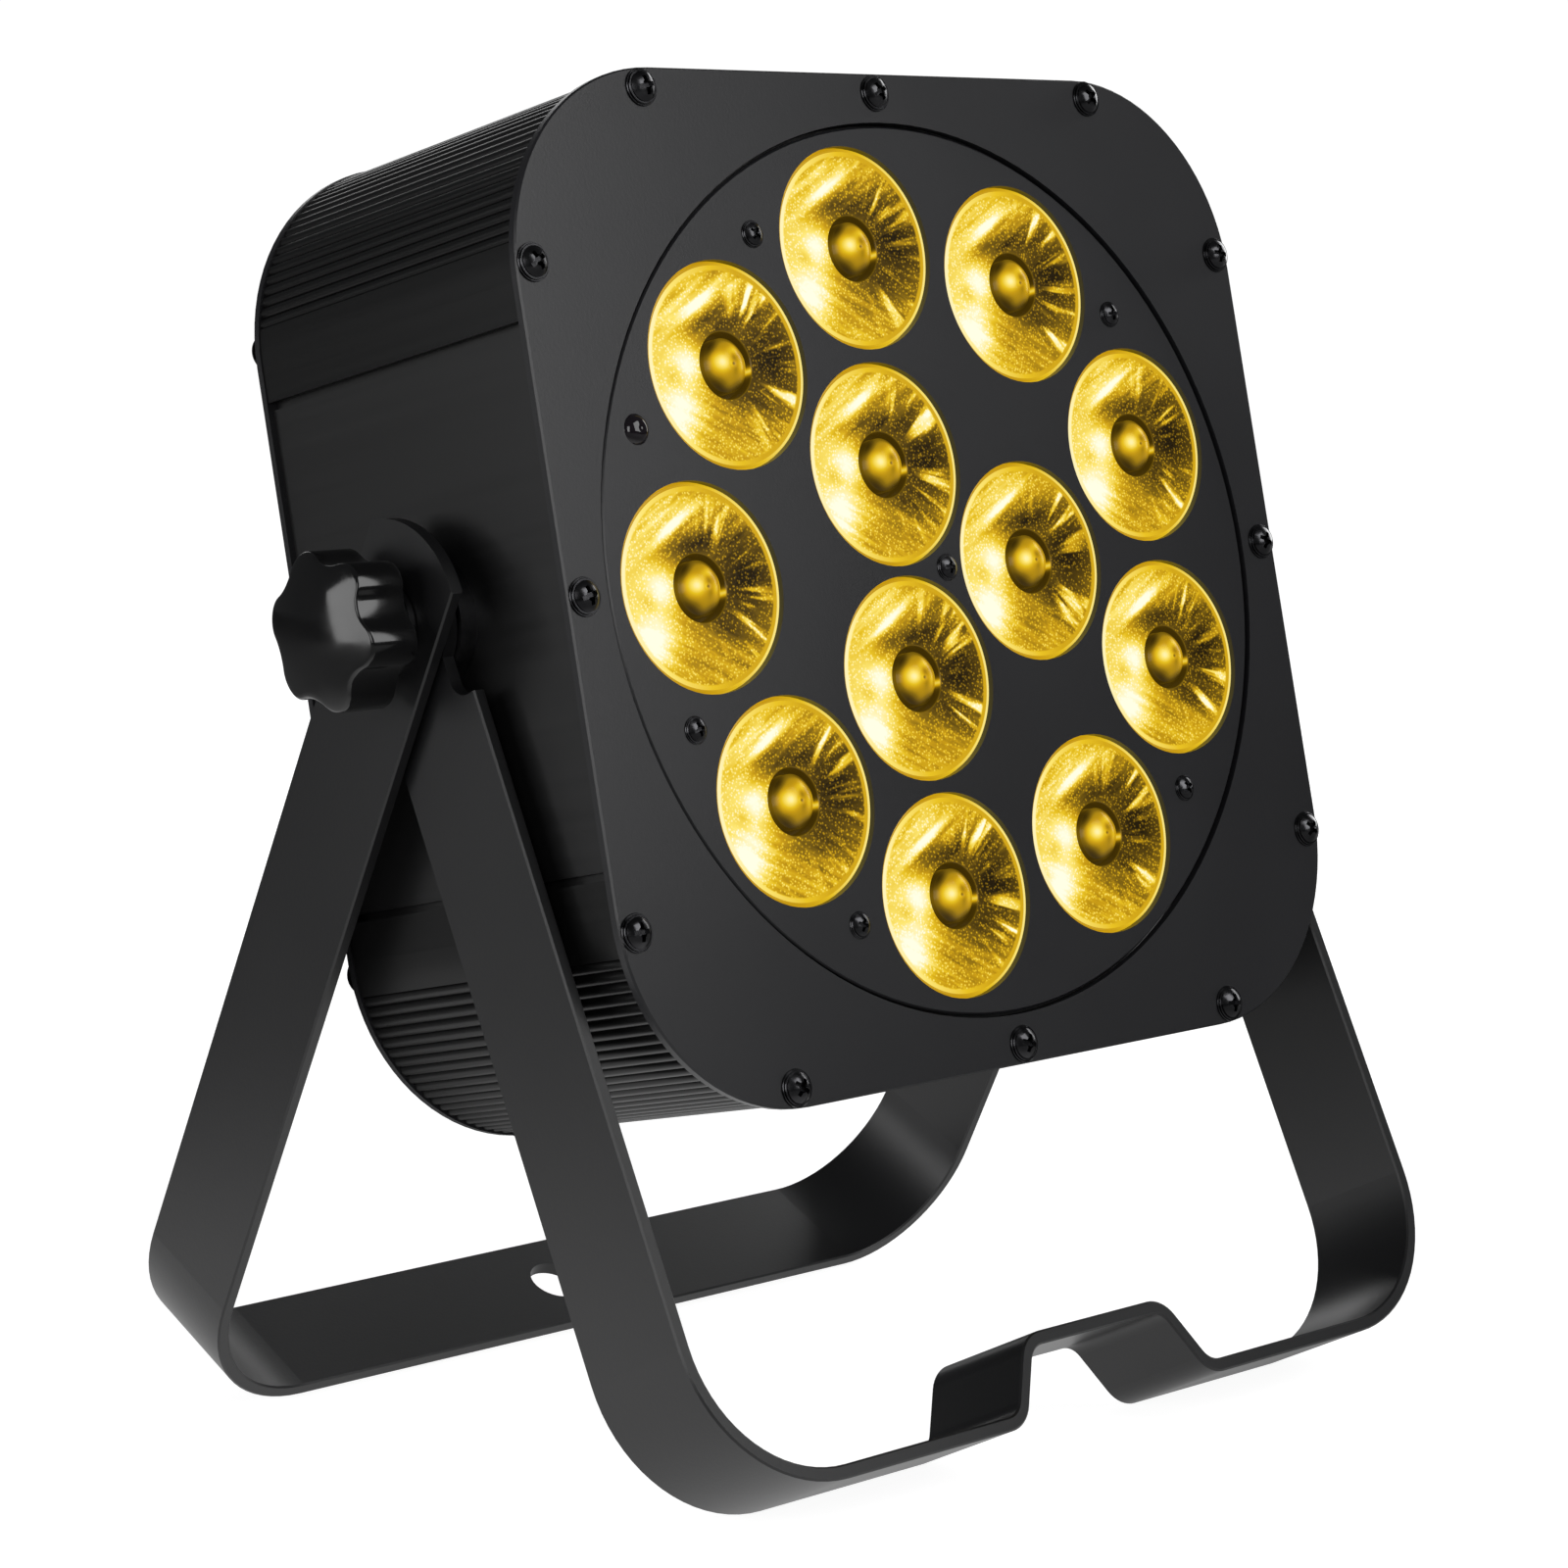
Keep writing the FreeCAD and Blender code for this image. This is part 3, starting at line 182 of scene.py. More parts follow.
# ---- Materials ----------------------------------------------------------------------------------------
def powder_coat(name, colour, roughness, grain=1600.0):
    """Satin powder coat: a fine even grain, with slow changes of tone and gloss."""
    made = Finish(name, Specular_IOR_Level=0.5)
    at = made.place()
    slow = made.noise(at, 9.0, 3.0)
    fine = made.noise(at, grain, 2.0, 0.6)
    tone = made.maths("ADD", made.maths("MULTIPLY", slow, 0.7), made.maths("MULTIPLY", fine, 0.3))
    made.set(Base_Color=made.ramp(tone, [(0.3, scaled(colour, 0.86)), (0.7, scaled(colour, 1.14))]))
    made.set(Roughness=made.span(slow, 0.3, 0.7, roughness - 0.03, roughness + 0.03))
    made.set(Normal=made.bump(fine, 0.00003, 0.6))
    return made.material


def extruded(name, colour, roughness, gloss=0.32):
    """Anodised extrusion: faint die lines run along the depth of the housing."""
    made = Finish(name, Specular_IOR_Level=gloss)
    at = made.place()
    run = made.vector("DOT_PRODUCT", at, tuple(rearward))
    lift = made.vector("DOT_PRODUCT", at, tuple(upward))
    x = made.split(at)[0]
    lines = made.noise(made.join(made.maths("MULTIPLY", x, 900.0), made.maths("MULTIPLY", run, 6.0),
                                 made.maths("MULTIPLY", lift, 900.0)), 1.0, 3.0)
    slow = made.noise(at, 12.0, 2.0)
    tone = made.maths("ADD", made.maths("MULTIPLY", slow, 0.7), made.maths("MULTIPLY", lines, 0.3))
    made.set(Base_Color=made.ramp(tone, [(0.3, scaled(colour, 0.88)), (0.7, scaled(colour, 1.12))]))
    made.set(Roughness=made.span(lines, 0.3, 0.7, roughness - 0.02, roughness + 0.02))
    made.set(Normal=made.bump(lines, 0.000004, 0.3))
    return made.material


def plated(name, colour, roughness, metallic=1.0):
    """Plated steel with faint turning marks and uneven gloss."""
    made = Finish(name, Metallic=metallic)
    at = made.place()
    slow = made.noise(at, 220.0, 3.0)
    made.set(Base_Color=made.ramp(slow, [(0.3, scaled(colour, 0.75)), (0.7, scaled(colour, 1.2))]))
    made.set(Roughness=made.span(slow, 0.3, 0.7, roughness - 0.06, roughness + 0.06))
    return made.material


def moulded(name, colour, roughness, grain=900.0, depth=0.00002):
    """Moulded plastic or rubber with a fine spark-eroded grain."""
    made = Finish(name, Specular_IOR_Level=0.5)
    at = made.place()
    fine = made.noise(at, grain, 3.0)
    slow = made.noise(at, 25.0, 2.0)
    made.set(Base_Color=made.ramp(slow, [(0.3, scaled(colour, 0.85)), (0.7, scaled(colour, 1.15))]))
    made.set(Roughness=made.span(fine, 0.3, 0.7, roughness - 0.05, roughness + 0.05))
    made.set(Normal=made.bump(fine, depth, 0.6))
    return made.material


def board(name, colour, copper):
    """Circuit board: solder mask with tracks under it."""
    made = Finish(name, Roughness=0.35)
    at = made.place()
    cells = made.cells(at, 260.0, "DISTANCE_TO_EDGE")
    made.set(Base_Color=made.ramp(cells, [(0.03, copper), (0.06, colour)]))
    return made.material


# Colour of the lens's painted light from dark to bright, painted shade to painted highlight, and how strongly each
# part of it glows with it
GOLD_PAINTED_LIGHT_STOPS = [
    (0.00, (0.014, 0.008, 0.001)),
    (0.16, (0.085, 0.047, 0.002)),
    (0.32, (0.210, 0.118, 0.003)),
    (0.50, (0.560, 0.310, 0.003)),
    (0.64, (0.800, 0.530, 0.012)),
    (0.80, (0.960, 0.780, 0.170)),
    (1.00, (1.000, 0.975, 0.800)),
]
FACE_GLOW = 0.97
RIM_GLOW = 0.90
CORE_GLOW = 0.90

# Painted highlights and painted shade on a lens as (amount, centre, size, lean in degrees), in lens radii from its
# centre
FACE_LEVEL = 0.55
FACE_PAINTED_SPOTS = [
    (0.27, (-0.82, -0.05), (0.42, 0.85), 0.0),
    (0.40, (-0.66, -0.48), (0.30, 0.26), 40.0),
    (0.38, (-0.48, 0.03), (0.20, 0.18), 0.0),
    (-0.15, (-0.67, -0.09), (0.11, 0.11), 0.0),
    (0.52, (-0.24, 0.60), (0.34, 0.055), 30.0),
    (0.20, (-0.36, 0.68), (0.36, 0.14), 32.0),
    (0.12, (0.10, 0.80), (0.50, 0.16), 0.0),
    (0.08, (0.05, -0.84), (0.60, 0.16), 0.0),
    (-0.40, (0.58, 0.06), (0.50, 0.46), 0.0),
    (-0.25, (-0.04, 0.41), (0.44, 0.12), 6.0),
    (-0.16, (0.24, -0.34), (0.34, 0.16), -20.0),
]
CORE_LEVEL = 0.42
CORE_PAINTED_SPOTS = [
    (0.46, (-0.12, 0.02), (0.09, 0.09), 0.0),
    (0.26, (0.04, 0.13), (0.08, 0.05), 20.0),
    (0.20, (0.11, -0.02), (0.05, 0.08), 0.0),
    (-0.24, (-0.14, -0.19), (0.13, 0.05), -40.0),
    (-0.24, (-0.17, 0.18), (0.12, 0.04), 45.0),
    (-0.16, (0.18, 0.16), (0.12, 0.04), -45.0),
    (-0.24, (0.10, -0.21), (0.14, 0.05), 15.0),
    (-0.14, (0.02, 0.03), (0.030, 0.10), 0.0),
    (0.26, (0.225, 0.02), (0.022, 0.14), 0.0),
    (0.30, (0.01, 0.0), (0.035, 0.035), 0.0),
    (-0.40, (0.01, 0.0), (0.016, 0.016), 0.0),
]

# Painted highlight rays, pebbles with painted glints, the painted band of light inside the rim, and the painted
# shade of the well round the dome with its painted highlight notch; distances are in lens radii
RAY_HIGHLIGHT_ZONES = [((0.52, 0.46), (0.36, 0.34)), ((0.60, -0.36), (0.36, 0.38))]
RAY_CROWDING = 6.5
RAY_HIGHLIGHT_AMOUNT = 0.62
PEBBLES_PER_METRE = 1450.0
BAND_START = 0.910
BAND_FULL = 0.935
DOME_EDGE = 0.264
WELL_SPAN = (0.2665, 0.2720)
WELL_PAINTED_SHADE = 0.07
NOTCH_AT = (0.33, -0.06)
NOTCH_SIZE = (0.08, 0.045)
NOTCH_HIGHLIGHT_AMOUNT = 0.65


def soft_spot(made, u, v, centre, size, degrees=0.0):
    """Round-shouldered spot: 1 at its centre, falling to 0 over size along and across its lean."""
    du = made.maths("SUBTRACT", u, centre[0])
    dv = made.maths("SUBTRACT", v, centre[1])
    cos, sin = math.cos(math.radians(degrees)), math.sin(math.radians(degrees))
    along = made.maths("ADD", made.maths("MULTIPLY", du, cos / size[0]),
                       made.maths("MULTIPLY", dv, sin / size[0]))
    aside = made.maths("ADD", made.maths("MULTIPLY", du, -sin / size[1]),
                       made.maths("MULTIPLY", dv, cos / size[1]))
    square = made.maths("ADD", made.maths("MULTIPLY", along, along), made.maths("MULTIPLY", aside, aside))
    return made.maths("EXPONENT", made.maths("MULTIPLY", square, -1.0))


def with_spots(made, u, v, level, spots):
    """Level with each spot's amount added to it."""
    for amount, centre, size, degrees in spots:
        spot = soft_spot(made, u, v, centre, size, degrees)
        level = made.maths("ADD", level, made.maths("MULTIPLY", spot, amount))
    return level


def lens_face():
    """Collimator over its emitter seen through its pebbled face, its reflections painted as highlights and shade
    and given as glow.  The mesh carries each point's place on the face, in lens radii, so the broad painted
    pattern is the same on each lens; grain and streaks differ."""
    made = Finish("lens_face", Roughness=0.35, Specular_IOR_Level=0.08)
    own = made.split(made.named("own_turn"))[0]
    u, v, _ = made.split(made.named("on_face"))
    radius = made.vector("LENGTH", made.join(u, v))
    angle = made.maths("ARCTAN2", v, u)
    # Painted highlights and painted shade: the collimator's reflections as spots of light and dark.
    level = with_spots(made, u, v, FACE_LEVEL, FACE_PAINTED_SPOTS)
    # Faint painted reflection streaks that lean up to the right above, and down to the right below.
    height = made.maths("ABSOLUTE", v)
    along = made.maths("ADD", made.maths("MULTIPLY", u, 1.4), made.maths("MULTIPLY", height, 0.8))
    aside = made.maths("SUBTRACT", made.maths("MULTIPLY", height, 12.0), made.maths("MULTIPLY", u, 6.5))
    half = made.maths("ADD", own, made.maths("MULTIPLY", made.maths("SIGN", v), 7.0))
    reflection_streaks = made.span(made.noise(made.join(along, aside, half), 1.0, 3.0, 0.6), 0.30, 0.70, -1.0, 1.0)
    reflection_streaks = made.maths("MULTIPLY", reflection_streaks, made.span(height, 0.15, 0.5, 0.02, 0.12))
    level = made.maths("ADD", level, reflection_streaks)
    # Painted highlights: broad rays that run out from the centre on the right, each lens with its own.
    ray_at = made.join(made.maths("MULTIPLY", made.maths("COSINE", angle), RAY_CROWDING),
                       made.maths("MULTIPLY", made.maths("SINE", angle), RAY_CROWDING),
                       made.maths("ADD", made.maths("MULTIPLY", radius, 1.1), own))
    ray_highlights = made.span(made.noise(ray_at, 1.0, 2.0, 0.5), 0.49, 0.69, smooth=True)
    ray_highlights = made.maths("MULTIPLY", ray_highlights, made.span(radius, 0.34, 0.66, smooth=True))
    above, below = (soft_spot(made, u, v, centre, size) for centre, size in RAY_HIGHLIGHT_ZONES)
    zone = made.maths("ADD", above, below)
    ray_highlights = made.maths("MULTIPLY", ray_highlights, made.maths("MINIMUM", made.maths("MULTIPLY", zone, 1.4), 1.0))
    level = made.maths("ADD", level, made.maths("MULTIPLY", ray_highlights, RAY_HIGHLIGHT_AMOUNT))
    # Pebbles: painted glints as bright specks where the face is dark, a faint grain where it is bright.
    pebbles = made.cells(made.place(), PEBBLES_PER_METRE)
    pebble_glints = made.span(pebbles, 0.10, 0.52, 1.0, 0.0, smooth=True)
    amount = made.span(level, 0.10, 0.90, 0.38, 0.18)
    level = made.maths("ADD", level, made.maths("MULTIPLY", made.maths("SUBTRACT", pebble_glints, 0.45), amount))
    # Painted band of saturated light inside the rim, brighter on the left.
    band = made.span(radius, BAND_START, BAND_FULL, smooth=True)
    rim_painted_light = made.span(u, -0.9, 0.3, 0.90, 0.54)
    level = made.maths("ADD", level, made.maths("MULTIPLY", band, made.maths("SUBTRACT", rim_painted_light, level)))
    # The painted light also lightens the base colour, and sets the glow's colour.
    made.set(Base_Color=made.ramp(level, [(0.0, (0.003, 0.0015, 0.0)), (1.0, (0.10, 0.07, 0.006))]))
    made.set(Emission_Color=made.ramp(level, GOLD_PAINTED_LIGHT_STOPS))
    made.shader.inputs["Emission Strength"].default_value = FACE_GLOW
    made.set(Normal=made.bump(pebbles, 0.00010, 0.4))
    return made.material


def lens_rim():
    """Plain polished rim with a glow, its painted light brighter towards the right."""
    made = Finish("lens_rim", Roughness=0.15, Specular_IOR_Level=0.3)
    u, v, _ = made.split(made.named("on_face"))
    # Painted light: the rim grows brighter towards the right.
    side = made.span(u, -0.2, 0.9, 0.0, 0.32, smooth=True)
    level = made.maths("ADD", 0.50, side)
    made.set(Base_Color=made.ramp(level, [(0.0, (0.05, 0.03, 0.002)), (1.0, (0.12, 0.08, 0.006))]))
    made.set(Emission_Color=made.ramp(level, GOLD_PAINTED_LIGHT_STOPS))
    made.shader.inputs["Emission Strength"].default_value = RIM_GLOW
    return made.material


def lens_core():
    """Centre well and dome: clear moulding over the emitter, glossy, darker by painted shade and with painted
    highlights, all given as glow.
    """
    made = Finish("lens_core", Roughness=0.20, Specular_IOR_Level=0.10)
    u, v, depth = made.split(made.named("on_face"))
    radius = made.vector("LENGTH", made.join(u, v))
    # Painted highlights and painted shade on the dome.
    level = with_spots(made, u, v, CORE_LEVEL, CORE_PAINTED_SPOTS)
    # Painted shade: darker towards the dome's edge.
    edge = made.span(radius, 0.20, DOME_EDGE, 0.0, 0.16, smooth=True)
    level = made.maths("SUBTRACT", level, edge)
    # The well's wall and floor: painted shade, with one painted highlight notch at the right.
    notch_highlight = soft_spot(made, u, v, NOTCH_AT, NOTCH_SIZE)
    well_shade = made.maths("ADD", WELL_PAINTED_SHADE, made.maths("MULTIPLY", notch_highlight, NOTCH_HIGHLIGHT_AMOUNT))
    well = made.maths("MULTIPLY", made.span(radius, *WELL_SPAN), made.span(depth, 0.18, 0.42))
    level = made.maths("ADD", level, made.maths("MULTIPLY", well, made.maths("SUBTRACT", well_shade, level)))
    made.set(Base_Color=made.ramp(level, [(0.0, (0.01, 0.005, 0.0)), (1.0, (0.20, 0.14, 0.01))]))
    made.set(Emission_Color=made.ramp(level, GOLD_PAINTED_LIGHT_STOPS))
    made.shader.inputs["Emission Strength"].default_value = CORE_GLOW
    return made.material


COAT = (0.0105, 0.0105, 0.0120)
FINISHES = {
    "powder_black": powder_coat("powder_black", COAT, 0.34),
    "bracket_black": powder_coat("bracket_black", (0.0070, 0.0070, 0.0076), 0.36, 1200.0),
    "anodised_black": extruded("anodised_black", (0.0042, 0.0042, 0.0043), 0.33),
    "side_black": extruded("side_black", (0.0060, 0.0060, 0.0062), 0.37, 0.46),
    "seal_rubber": moulded("seal_rubber", (0.006, 0.006, 0.006), 0.14, 400.0, 0.00005),
    "black_screws": plated("black_screws", (0.055, 0.055, 0.058), 0.22),
    "dark_steel": plated("dark_steel", (0.12, 0.12, 0.125), 0.36),
    "bright_steel": plated("bright_steel", (0.55, 0.55, 0.54), 0.25),
    "knob_plastic": moulded("knob_plastic", (0.006, 0.006, 0.0062), 0.13, 120.0, 0.00001),
    "sensor_plastic": moulded("sensor_plastic", (0.008, 0.006, 0.008), 0.07, 150.0, 0.00001),
    "tray_plastic": moulded("tray_plastic", (0.010, 0.010, 0.010), 0.5),
    "board_white": board("board_white", (0.70, 0.70, 0.68), (0.55, 0.55, 0.52)),
    "board_green": board("board_green", (0.010, 0.110, 0.035), (0.05, 0.20, 0.07)),
    "emitter_amber": moulded("emitter_amber", (0.9, 0.65, 0.08), 0.2),
    "psu_case": plated("psu_case", (0.55, 0.55, 0.56), 0.42),
    "fan_plastic": moulded("fan_plastic", (0.012, 0.012, 0.012), 0.42),
    "socket_metal": plated("socket_metal", (0.045, 0.045, 0.048), 0.34, 0.8),
    "latch_metal": plated("latch_metal", (0.55, 0.55, 0.55), 0.28),
    "connector_plastic": moulded("connector_plastic", (0.010, 0.010, 0.010), 0.38),
    "display_window": moulded("display_window", (0.006, 0.008, 0.014), 0.06, 60.0, 0.00001),
    "button_plastic": moulded("button_plastic", (0.24, 0.24, 0.25), 0.45),
    "lens_optic": lens_face(),
}
LENS_RIM = lens_rim()
LENS_CORE = lens_core()


def finish_cad_nodes():
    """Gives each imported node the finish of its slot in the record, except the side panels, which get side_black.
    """
    slots = {part["node"]: part["material_slot"] for part in frame["record"]["subparts"]}
    for name, piece in frame["nodes"].items():
        piece.data.materials.clear()
        finish = "side_black" if name.startswith("side_panel") else slots[name]
        piece.data.materials.append(FINISHES[finish])


# ---- Meshes made here ---------------------------------------------------------------------------------
TURN = 2 * math.pi


def add_piece(name, mesh, body, replaces, sharp_degrees=32.0):
    """Shows a mesh in the place of its CAD node, on the same body."""
    mesh.set_sharp_from_angle(angle=math.radians(sharp_degrees))
    piece = bpy.data.objects.new(name, mesh)
    bpy.context.scene.collection.objects.link(piece)
    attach(piece, body)
    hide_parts(replaces)
    return piece


def turned_rings(work, profile, x, z, segments):
    """Rings of a turned form about the line through x, z; profile is (radius, y) in fixture mm."""
    rings = []
    for radius, y in profile:
        if radius < 1e-6:
            rings.append([work.verts.new(fixture(x, y, z))])
            continue
        ring = []
        for step in range(segments):
            angle = TURN * step / segments
            place = fixture(x + radius * math.cos(angle), y, z + radius * math.sin(angle))
            ring.append(work.verts.new(place))
        rings.append(ring)
    return rings


def skin(work, rings, material_of=None):
    """Faces between neighbouring rings; a ring of one point closes the form."""
    for index, (first, second) in enumerate(zip(rings, rings[1:])):
        count = max(len(first), len(second))
        for step in range(count):
            after = (step + 1) % count
            if len(first) == 1:
                corners = (first[0], second[step], second[after])
            elif len(second) == 1:
                corners = (first[step], second[0], first[after])
            else:
                corners = (first[step], second[step], second[after], first[after])
            face = work.faces.new(corners)
            face.smooth = True
            if material_of:
                face.material_index = material_of[index]


def arc(centre_r, centre_y, radius, start, end, count):
    """Points of a profile arc; degrees from +radius towards +y."""
    points = []
    for step in range(count + 1):
        angle = math.radians(start + (end - start) * step / count)
        points.append((centre_r + radius * math.cos(angle), centre_y + radius * math.sin(angle)))
    return points


def mesh_from(work, name, materials):
    """Mesh with outward faces from the work so far, which is freed."""
    bmesh.ops.recalc_face_normals(work, faces=work.faces)
    mesh = bpy.data.meshes.new(name)
    work.to_mesh(mesh)
    work.free()
    for material in materials:
        mesh.materials.append(material)
    return mesh


# Lens sizes, in mm
LENS_R = 22.1
LENS_FACE = 1.3
LENS_DIP = 0.15
LENS_FLANGE_R = 23.2
LENS_SEAT = 2.5
FLANGE_BACK = 3.7
LENS_BACK = LENS_FACE + 18.0
WELL_R = 7.2
WELL_DEPTH = 3.0
DOME_R = 5.9
DOME_H = 2.9
DOME_SUNK = 0.45
DIMPLE_R = 0.9
LENS_SEGMENTS = 128
OUTER_RING_R = 72.4
OUTER_RING_START = 20.0
OUTER_LENSES = 9
INNER_RING_R = 27.2
INNER_LENSES = 3
LENS_CHANGE = 3.7    # how far each lens's own streaks are from the next one's in the noise


def lens_places():
    outer = [polar(OUTER_RING_R, OUTER_RING_START + 360.0 / OUTER_LENSES * k) for k in range(OUTER_LENSES)]
    return outer + [polar(INNER_RING_R, 360.0 / INNER_LENSES * k) for k in range(INNER_LENSES)]


# Materials of a lens, in the order that its mesh lists them
FACE_BAND, RIM_BAND, CORE_BAND = 0, 1, 2


def lens_profile():
    """(radius, y) from the dome's apex round to the back, with the material of each band."""
    dip = LENS_FACE + LENS_DIP
    base = dip + DOME_SUNK
    ball = (DOME_R ** 2 + DOME_H ** 2) / (2 * DOME_H)
    half = math.degrees(math.asin(DOME_R / ball))
    top = base - DOME_H
    points = [(0.0, top + 0.28), (DIMPLE_R * 0.5, top + 0.22)]
    for step in range(10):
        angle = math.radians(half * (0.17 + 0.83 * step / 9))
        points.append((ball * math.sin(angle), top + ball - ball * math.cos(angle)))
    points += [(DOME_R, dip + WELL_DEPTH - 0.3), (DOME_R + 0.3, dip + WELL_DEPTH)]
    points += [(WELL_R - 0.3, dip + WELL_DEPTH), (WELL_R, dip + WELL_DEPTH - 0.3)]
    points += [(WELL_R, dip + 0.25), (WELL_R + 0.25, dip)]
    core = len(points) - 1
    face_end = LENS_R - 0.65
    points += [(WELL_R + (face_end - WELL_R) * step / 12, dip) for step in range(1, 13)]
    face = len(points) - 1
    points += arc(LENS_R - 0.30, dip, LENS_DIP, 180.0, 270.0, 4)
    points += arc(LENS_R - 0.25, LENS_FACE + 0.25, 0.25, 270.0, 360.0, 4)
    points += [(LENS_R, LENS_SEAT), (LENS_FLANGE_R, LENS_SEAT), (LENS_FLANGE_R, FLANGE_BACK),
               (LENS_R, FLANGE_BACK), (20.2, 8.0), (16.5, 12.5), (12.6, 16.2), (8.0, LENS_BACK - 0.1),
               (0.0, LENS_BACK - 0.1)]
    bands = [CORE_BAND] * core + [FACE_BAND] * (face - core) + [RIM_BAND] * (len(points) - 1 - face)
    return points, bands


def add_lenses():
    """Turned optics in the lenses' places; each point keeps its place on the face for the material."""
    profile, bands = lens_profile()
    for number, (x, z) in enumerate(lens_places(), start=1):
        node = "lens_%02d" % number
        work = bmesh.new()
        skin(work, turned_rings(work, profile, x, z, LENS_SEGMENTS), bands)
        mesh = mesh_from(work, node + "_optic", [FINISHES["lens_optic"], LENS_RIM, LENS_CORE])
        on_face = mesh.attributes.new("on_face", "FLOAT_VECTOR", "POINT")
        origin = fixture(x, LENS_FACE, z)
        for vertex, value in zip(mesh.vertices, on_face.data):
            offset = (vertex.co - origin) / MM
            value.vector = (offset.dot(across) / LENS_R, offset.dot(upward) / LENS_R, offset.dot(rearward))
        own_turn = mesh.attributes.new("own_turn", "FLOAT_VECTOR", "POINT")
        for value in own_turn.data:
            value.vector = (number * LENS_CHANGE, 0.0, 0.0)
        add_piece(node + "_optic", mesh, "housing", node)


# Knob sizes, in mm from the plate's middle plane
KNOB_LOBES = 6
KNOB_R = 17.2
KNOB_VALLEY_R = 14.2
KNOB_LOBE_ARC = 5.2
KNOB_PHASE = 21.0
KNOB_BACK = 125.4
KNOB_TOP = 140.2
KNOB_DOME = 3.0
HUB_R = 8.5
HUB_START = 121.7
STUD_R = 4.0
KNOB_EDGE = 0.7
KNOB_SEGMENTS = 288


def knob_radius(angle):
    """Distance to the lobed outline, in a turn's angle from a lobe's middle."""
    lobe = KNOB_LOBE_ARC
    centre = KNOB_R - lobe
    half_step = math.pi / KNOB_LOBES
    far = (centre ** 2 - (KNOB_VALLEY_R - lobe) ** 2) / (2 * centre * math.cos(half_step)
                                                        - 2 * (KNOB_VALLEY_R - lobe))
    valley = far - KNOB_VALLEY_R
    share = lobe / (lobe + valley)
    joint_x = centre + (far * math.cos(half_step) - centre) * share
    joint_y = far * math.sin(half_step) * share
    turn = abs((angle + half_step) % (2 * half_step) - half_step)
    if turn < math.atan2(joint_y, joint_x):
        return centre * math.cos(turn) + math.sqrt(lobe ** 2 - (centre * math.sin(turn)) ** 2)
    lean = turn - half_step
    return far * math.cos(lean) - math.sqrt(valley ** 2 - (far * math.sin(lean)) ** 2)


def knob_rings(side):
    """Rings of the knob from its bore round the hub, the back, the lobed wall and the domed face."""
    ball = (KNOB_R ** 2 + KNOB_DOME ** 2) / (2 * KNOB_DOME)
    plan = [("round", STUD_R, HUB_START + 6.0), ("round", STUD_R, HUB_START),
            ("round", HUB_R - 0.3, HUB_START), ("round", HUB_R, HUB_START + 0.3),
            ("round", HUB_R + 0.3, KNOB_BACK),
            ("lobed", 0.8, KNOB_BACK), ("lobed", 0.25, KNOB_BACK + 0.25),
            ("lobed", 0.0, KNOB_BACK + 0.8), ("lobed", 0.0, KNOB_BACK + 3.0)]
    for step in range(7):
        lean = math.radians(90.0 * step / 6)
        plan.append(("edge", KNOB_EDGE * (1 - math.cos(lean)), KNOB_EDGE * (1 - math.sin(lean))))
    for share in (0.93, 0.85, 0.75, 0.64, 0.52, 0.40, 0.28, 0.16, 0.07):
        plan.append(("dome", share, 0.0))
    rings = []
    for kind, first, second in plan:
        ring = []
        for step in range(KNOB_SEGMENTS):
            angle = TURN * step / KNOB_SEGMENTS
            outline = knob_radius(angle)
            if kind == "round":
                radius, out = first, second
            elif kind == "lobed":
                radius, out = outline - first, second
            elif kind == "edge":
                radius = outline - first
                out = KNOB_TOP - ball + math.sqrt(ball ** 2 - radius ** 2) - second
            else:
                radius = (outline - KNOB_EDGE) * first
                out = KNOB_TOP - ball + math.sqrt(ball ** 2 - radius ** 2)
            turn = angle + math.radians(KNOB_PHASE)
            back = PIVOT_BACK + radius * math.cos(turn)
            up = PIVOT_UP + radius * math.sin(turn)
            ring.append((side * out, back, up))
        rings.append(ring)
    rings.append([(side * KNOB_TOP, PIVOT_BACK, PIVOT_UP)])
    return rings


def add_knob(side, word):
    """Star knob on the side -1 or 1."""
    work = bmesh.new()
    rings = [[work.verts.new(fixture(*place)) for place in ring] for ring in knob_rings(side)]
    skin(work, rings)
    mesh = mesh_from(work, "star_knob_" + word, [FINISHES["knob_plastic"]])
    add_piece("star_knob_" + word, mesh, word + "_knob", "knob_" + word, 40.0)


# ---- Stage ----------------------------------------------------------------------------------------------
# The floor in metres: how bright the camera sees it near, in painted shade under the object, and far, and the
# painted pool of glow that it throws on the object
FLOOR_HALF = 12.0
FLOOR_SHADED_NEAR = 0.92
FLOOR_FAR = 1.05
FLOOR_PAINTED_GLOW = 0.75
FLOOR_LIT_AT = (-0.10, 0.10, 0.0)
FLOOR_LIT_SPAN = (0.14, 0.44)
FLOOR_SHADE_SPAN = (0.25, 0.9)

# The studio round the floor as (colour, strength): what the object mirrors, and what the camera sees
WORLD_MIRRORED = ((0.95, 0.97, 1.0, 1.0), 0.07)
WORLD_SEEN = ((1.0, 1.0, 1.0, 1.0), 1.05)

# Softboxes as (name, place in metres, size in metres, watts, roll in degrees); all face the plate's centre
SOFTBOXES = [
    ("left_softbox", (-1.49, 0.28, 0.34), (1.35, 0.85), 12.5, 24.0),
    ("front_softbox", (0.42, -1.36, 0.93), (1.0, 1.2), 15.0, 0.0),
    ("camera_softbox", (-1.30, -1.10, 0.66), (0.5, 0.9), 6.0, 0.0),
    ("rear_softbox", (1.1, 1.5, 1.1), (1.2, 1.2), 7.0, 0.0),
    ("right_softbox", (1.5, 0.25, 0.6), (0.9, 0.9), 8.0, 0.0),
]

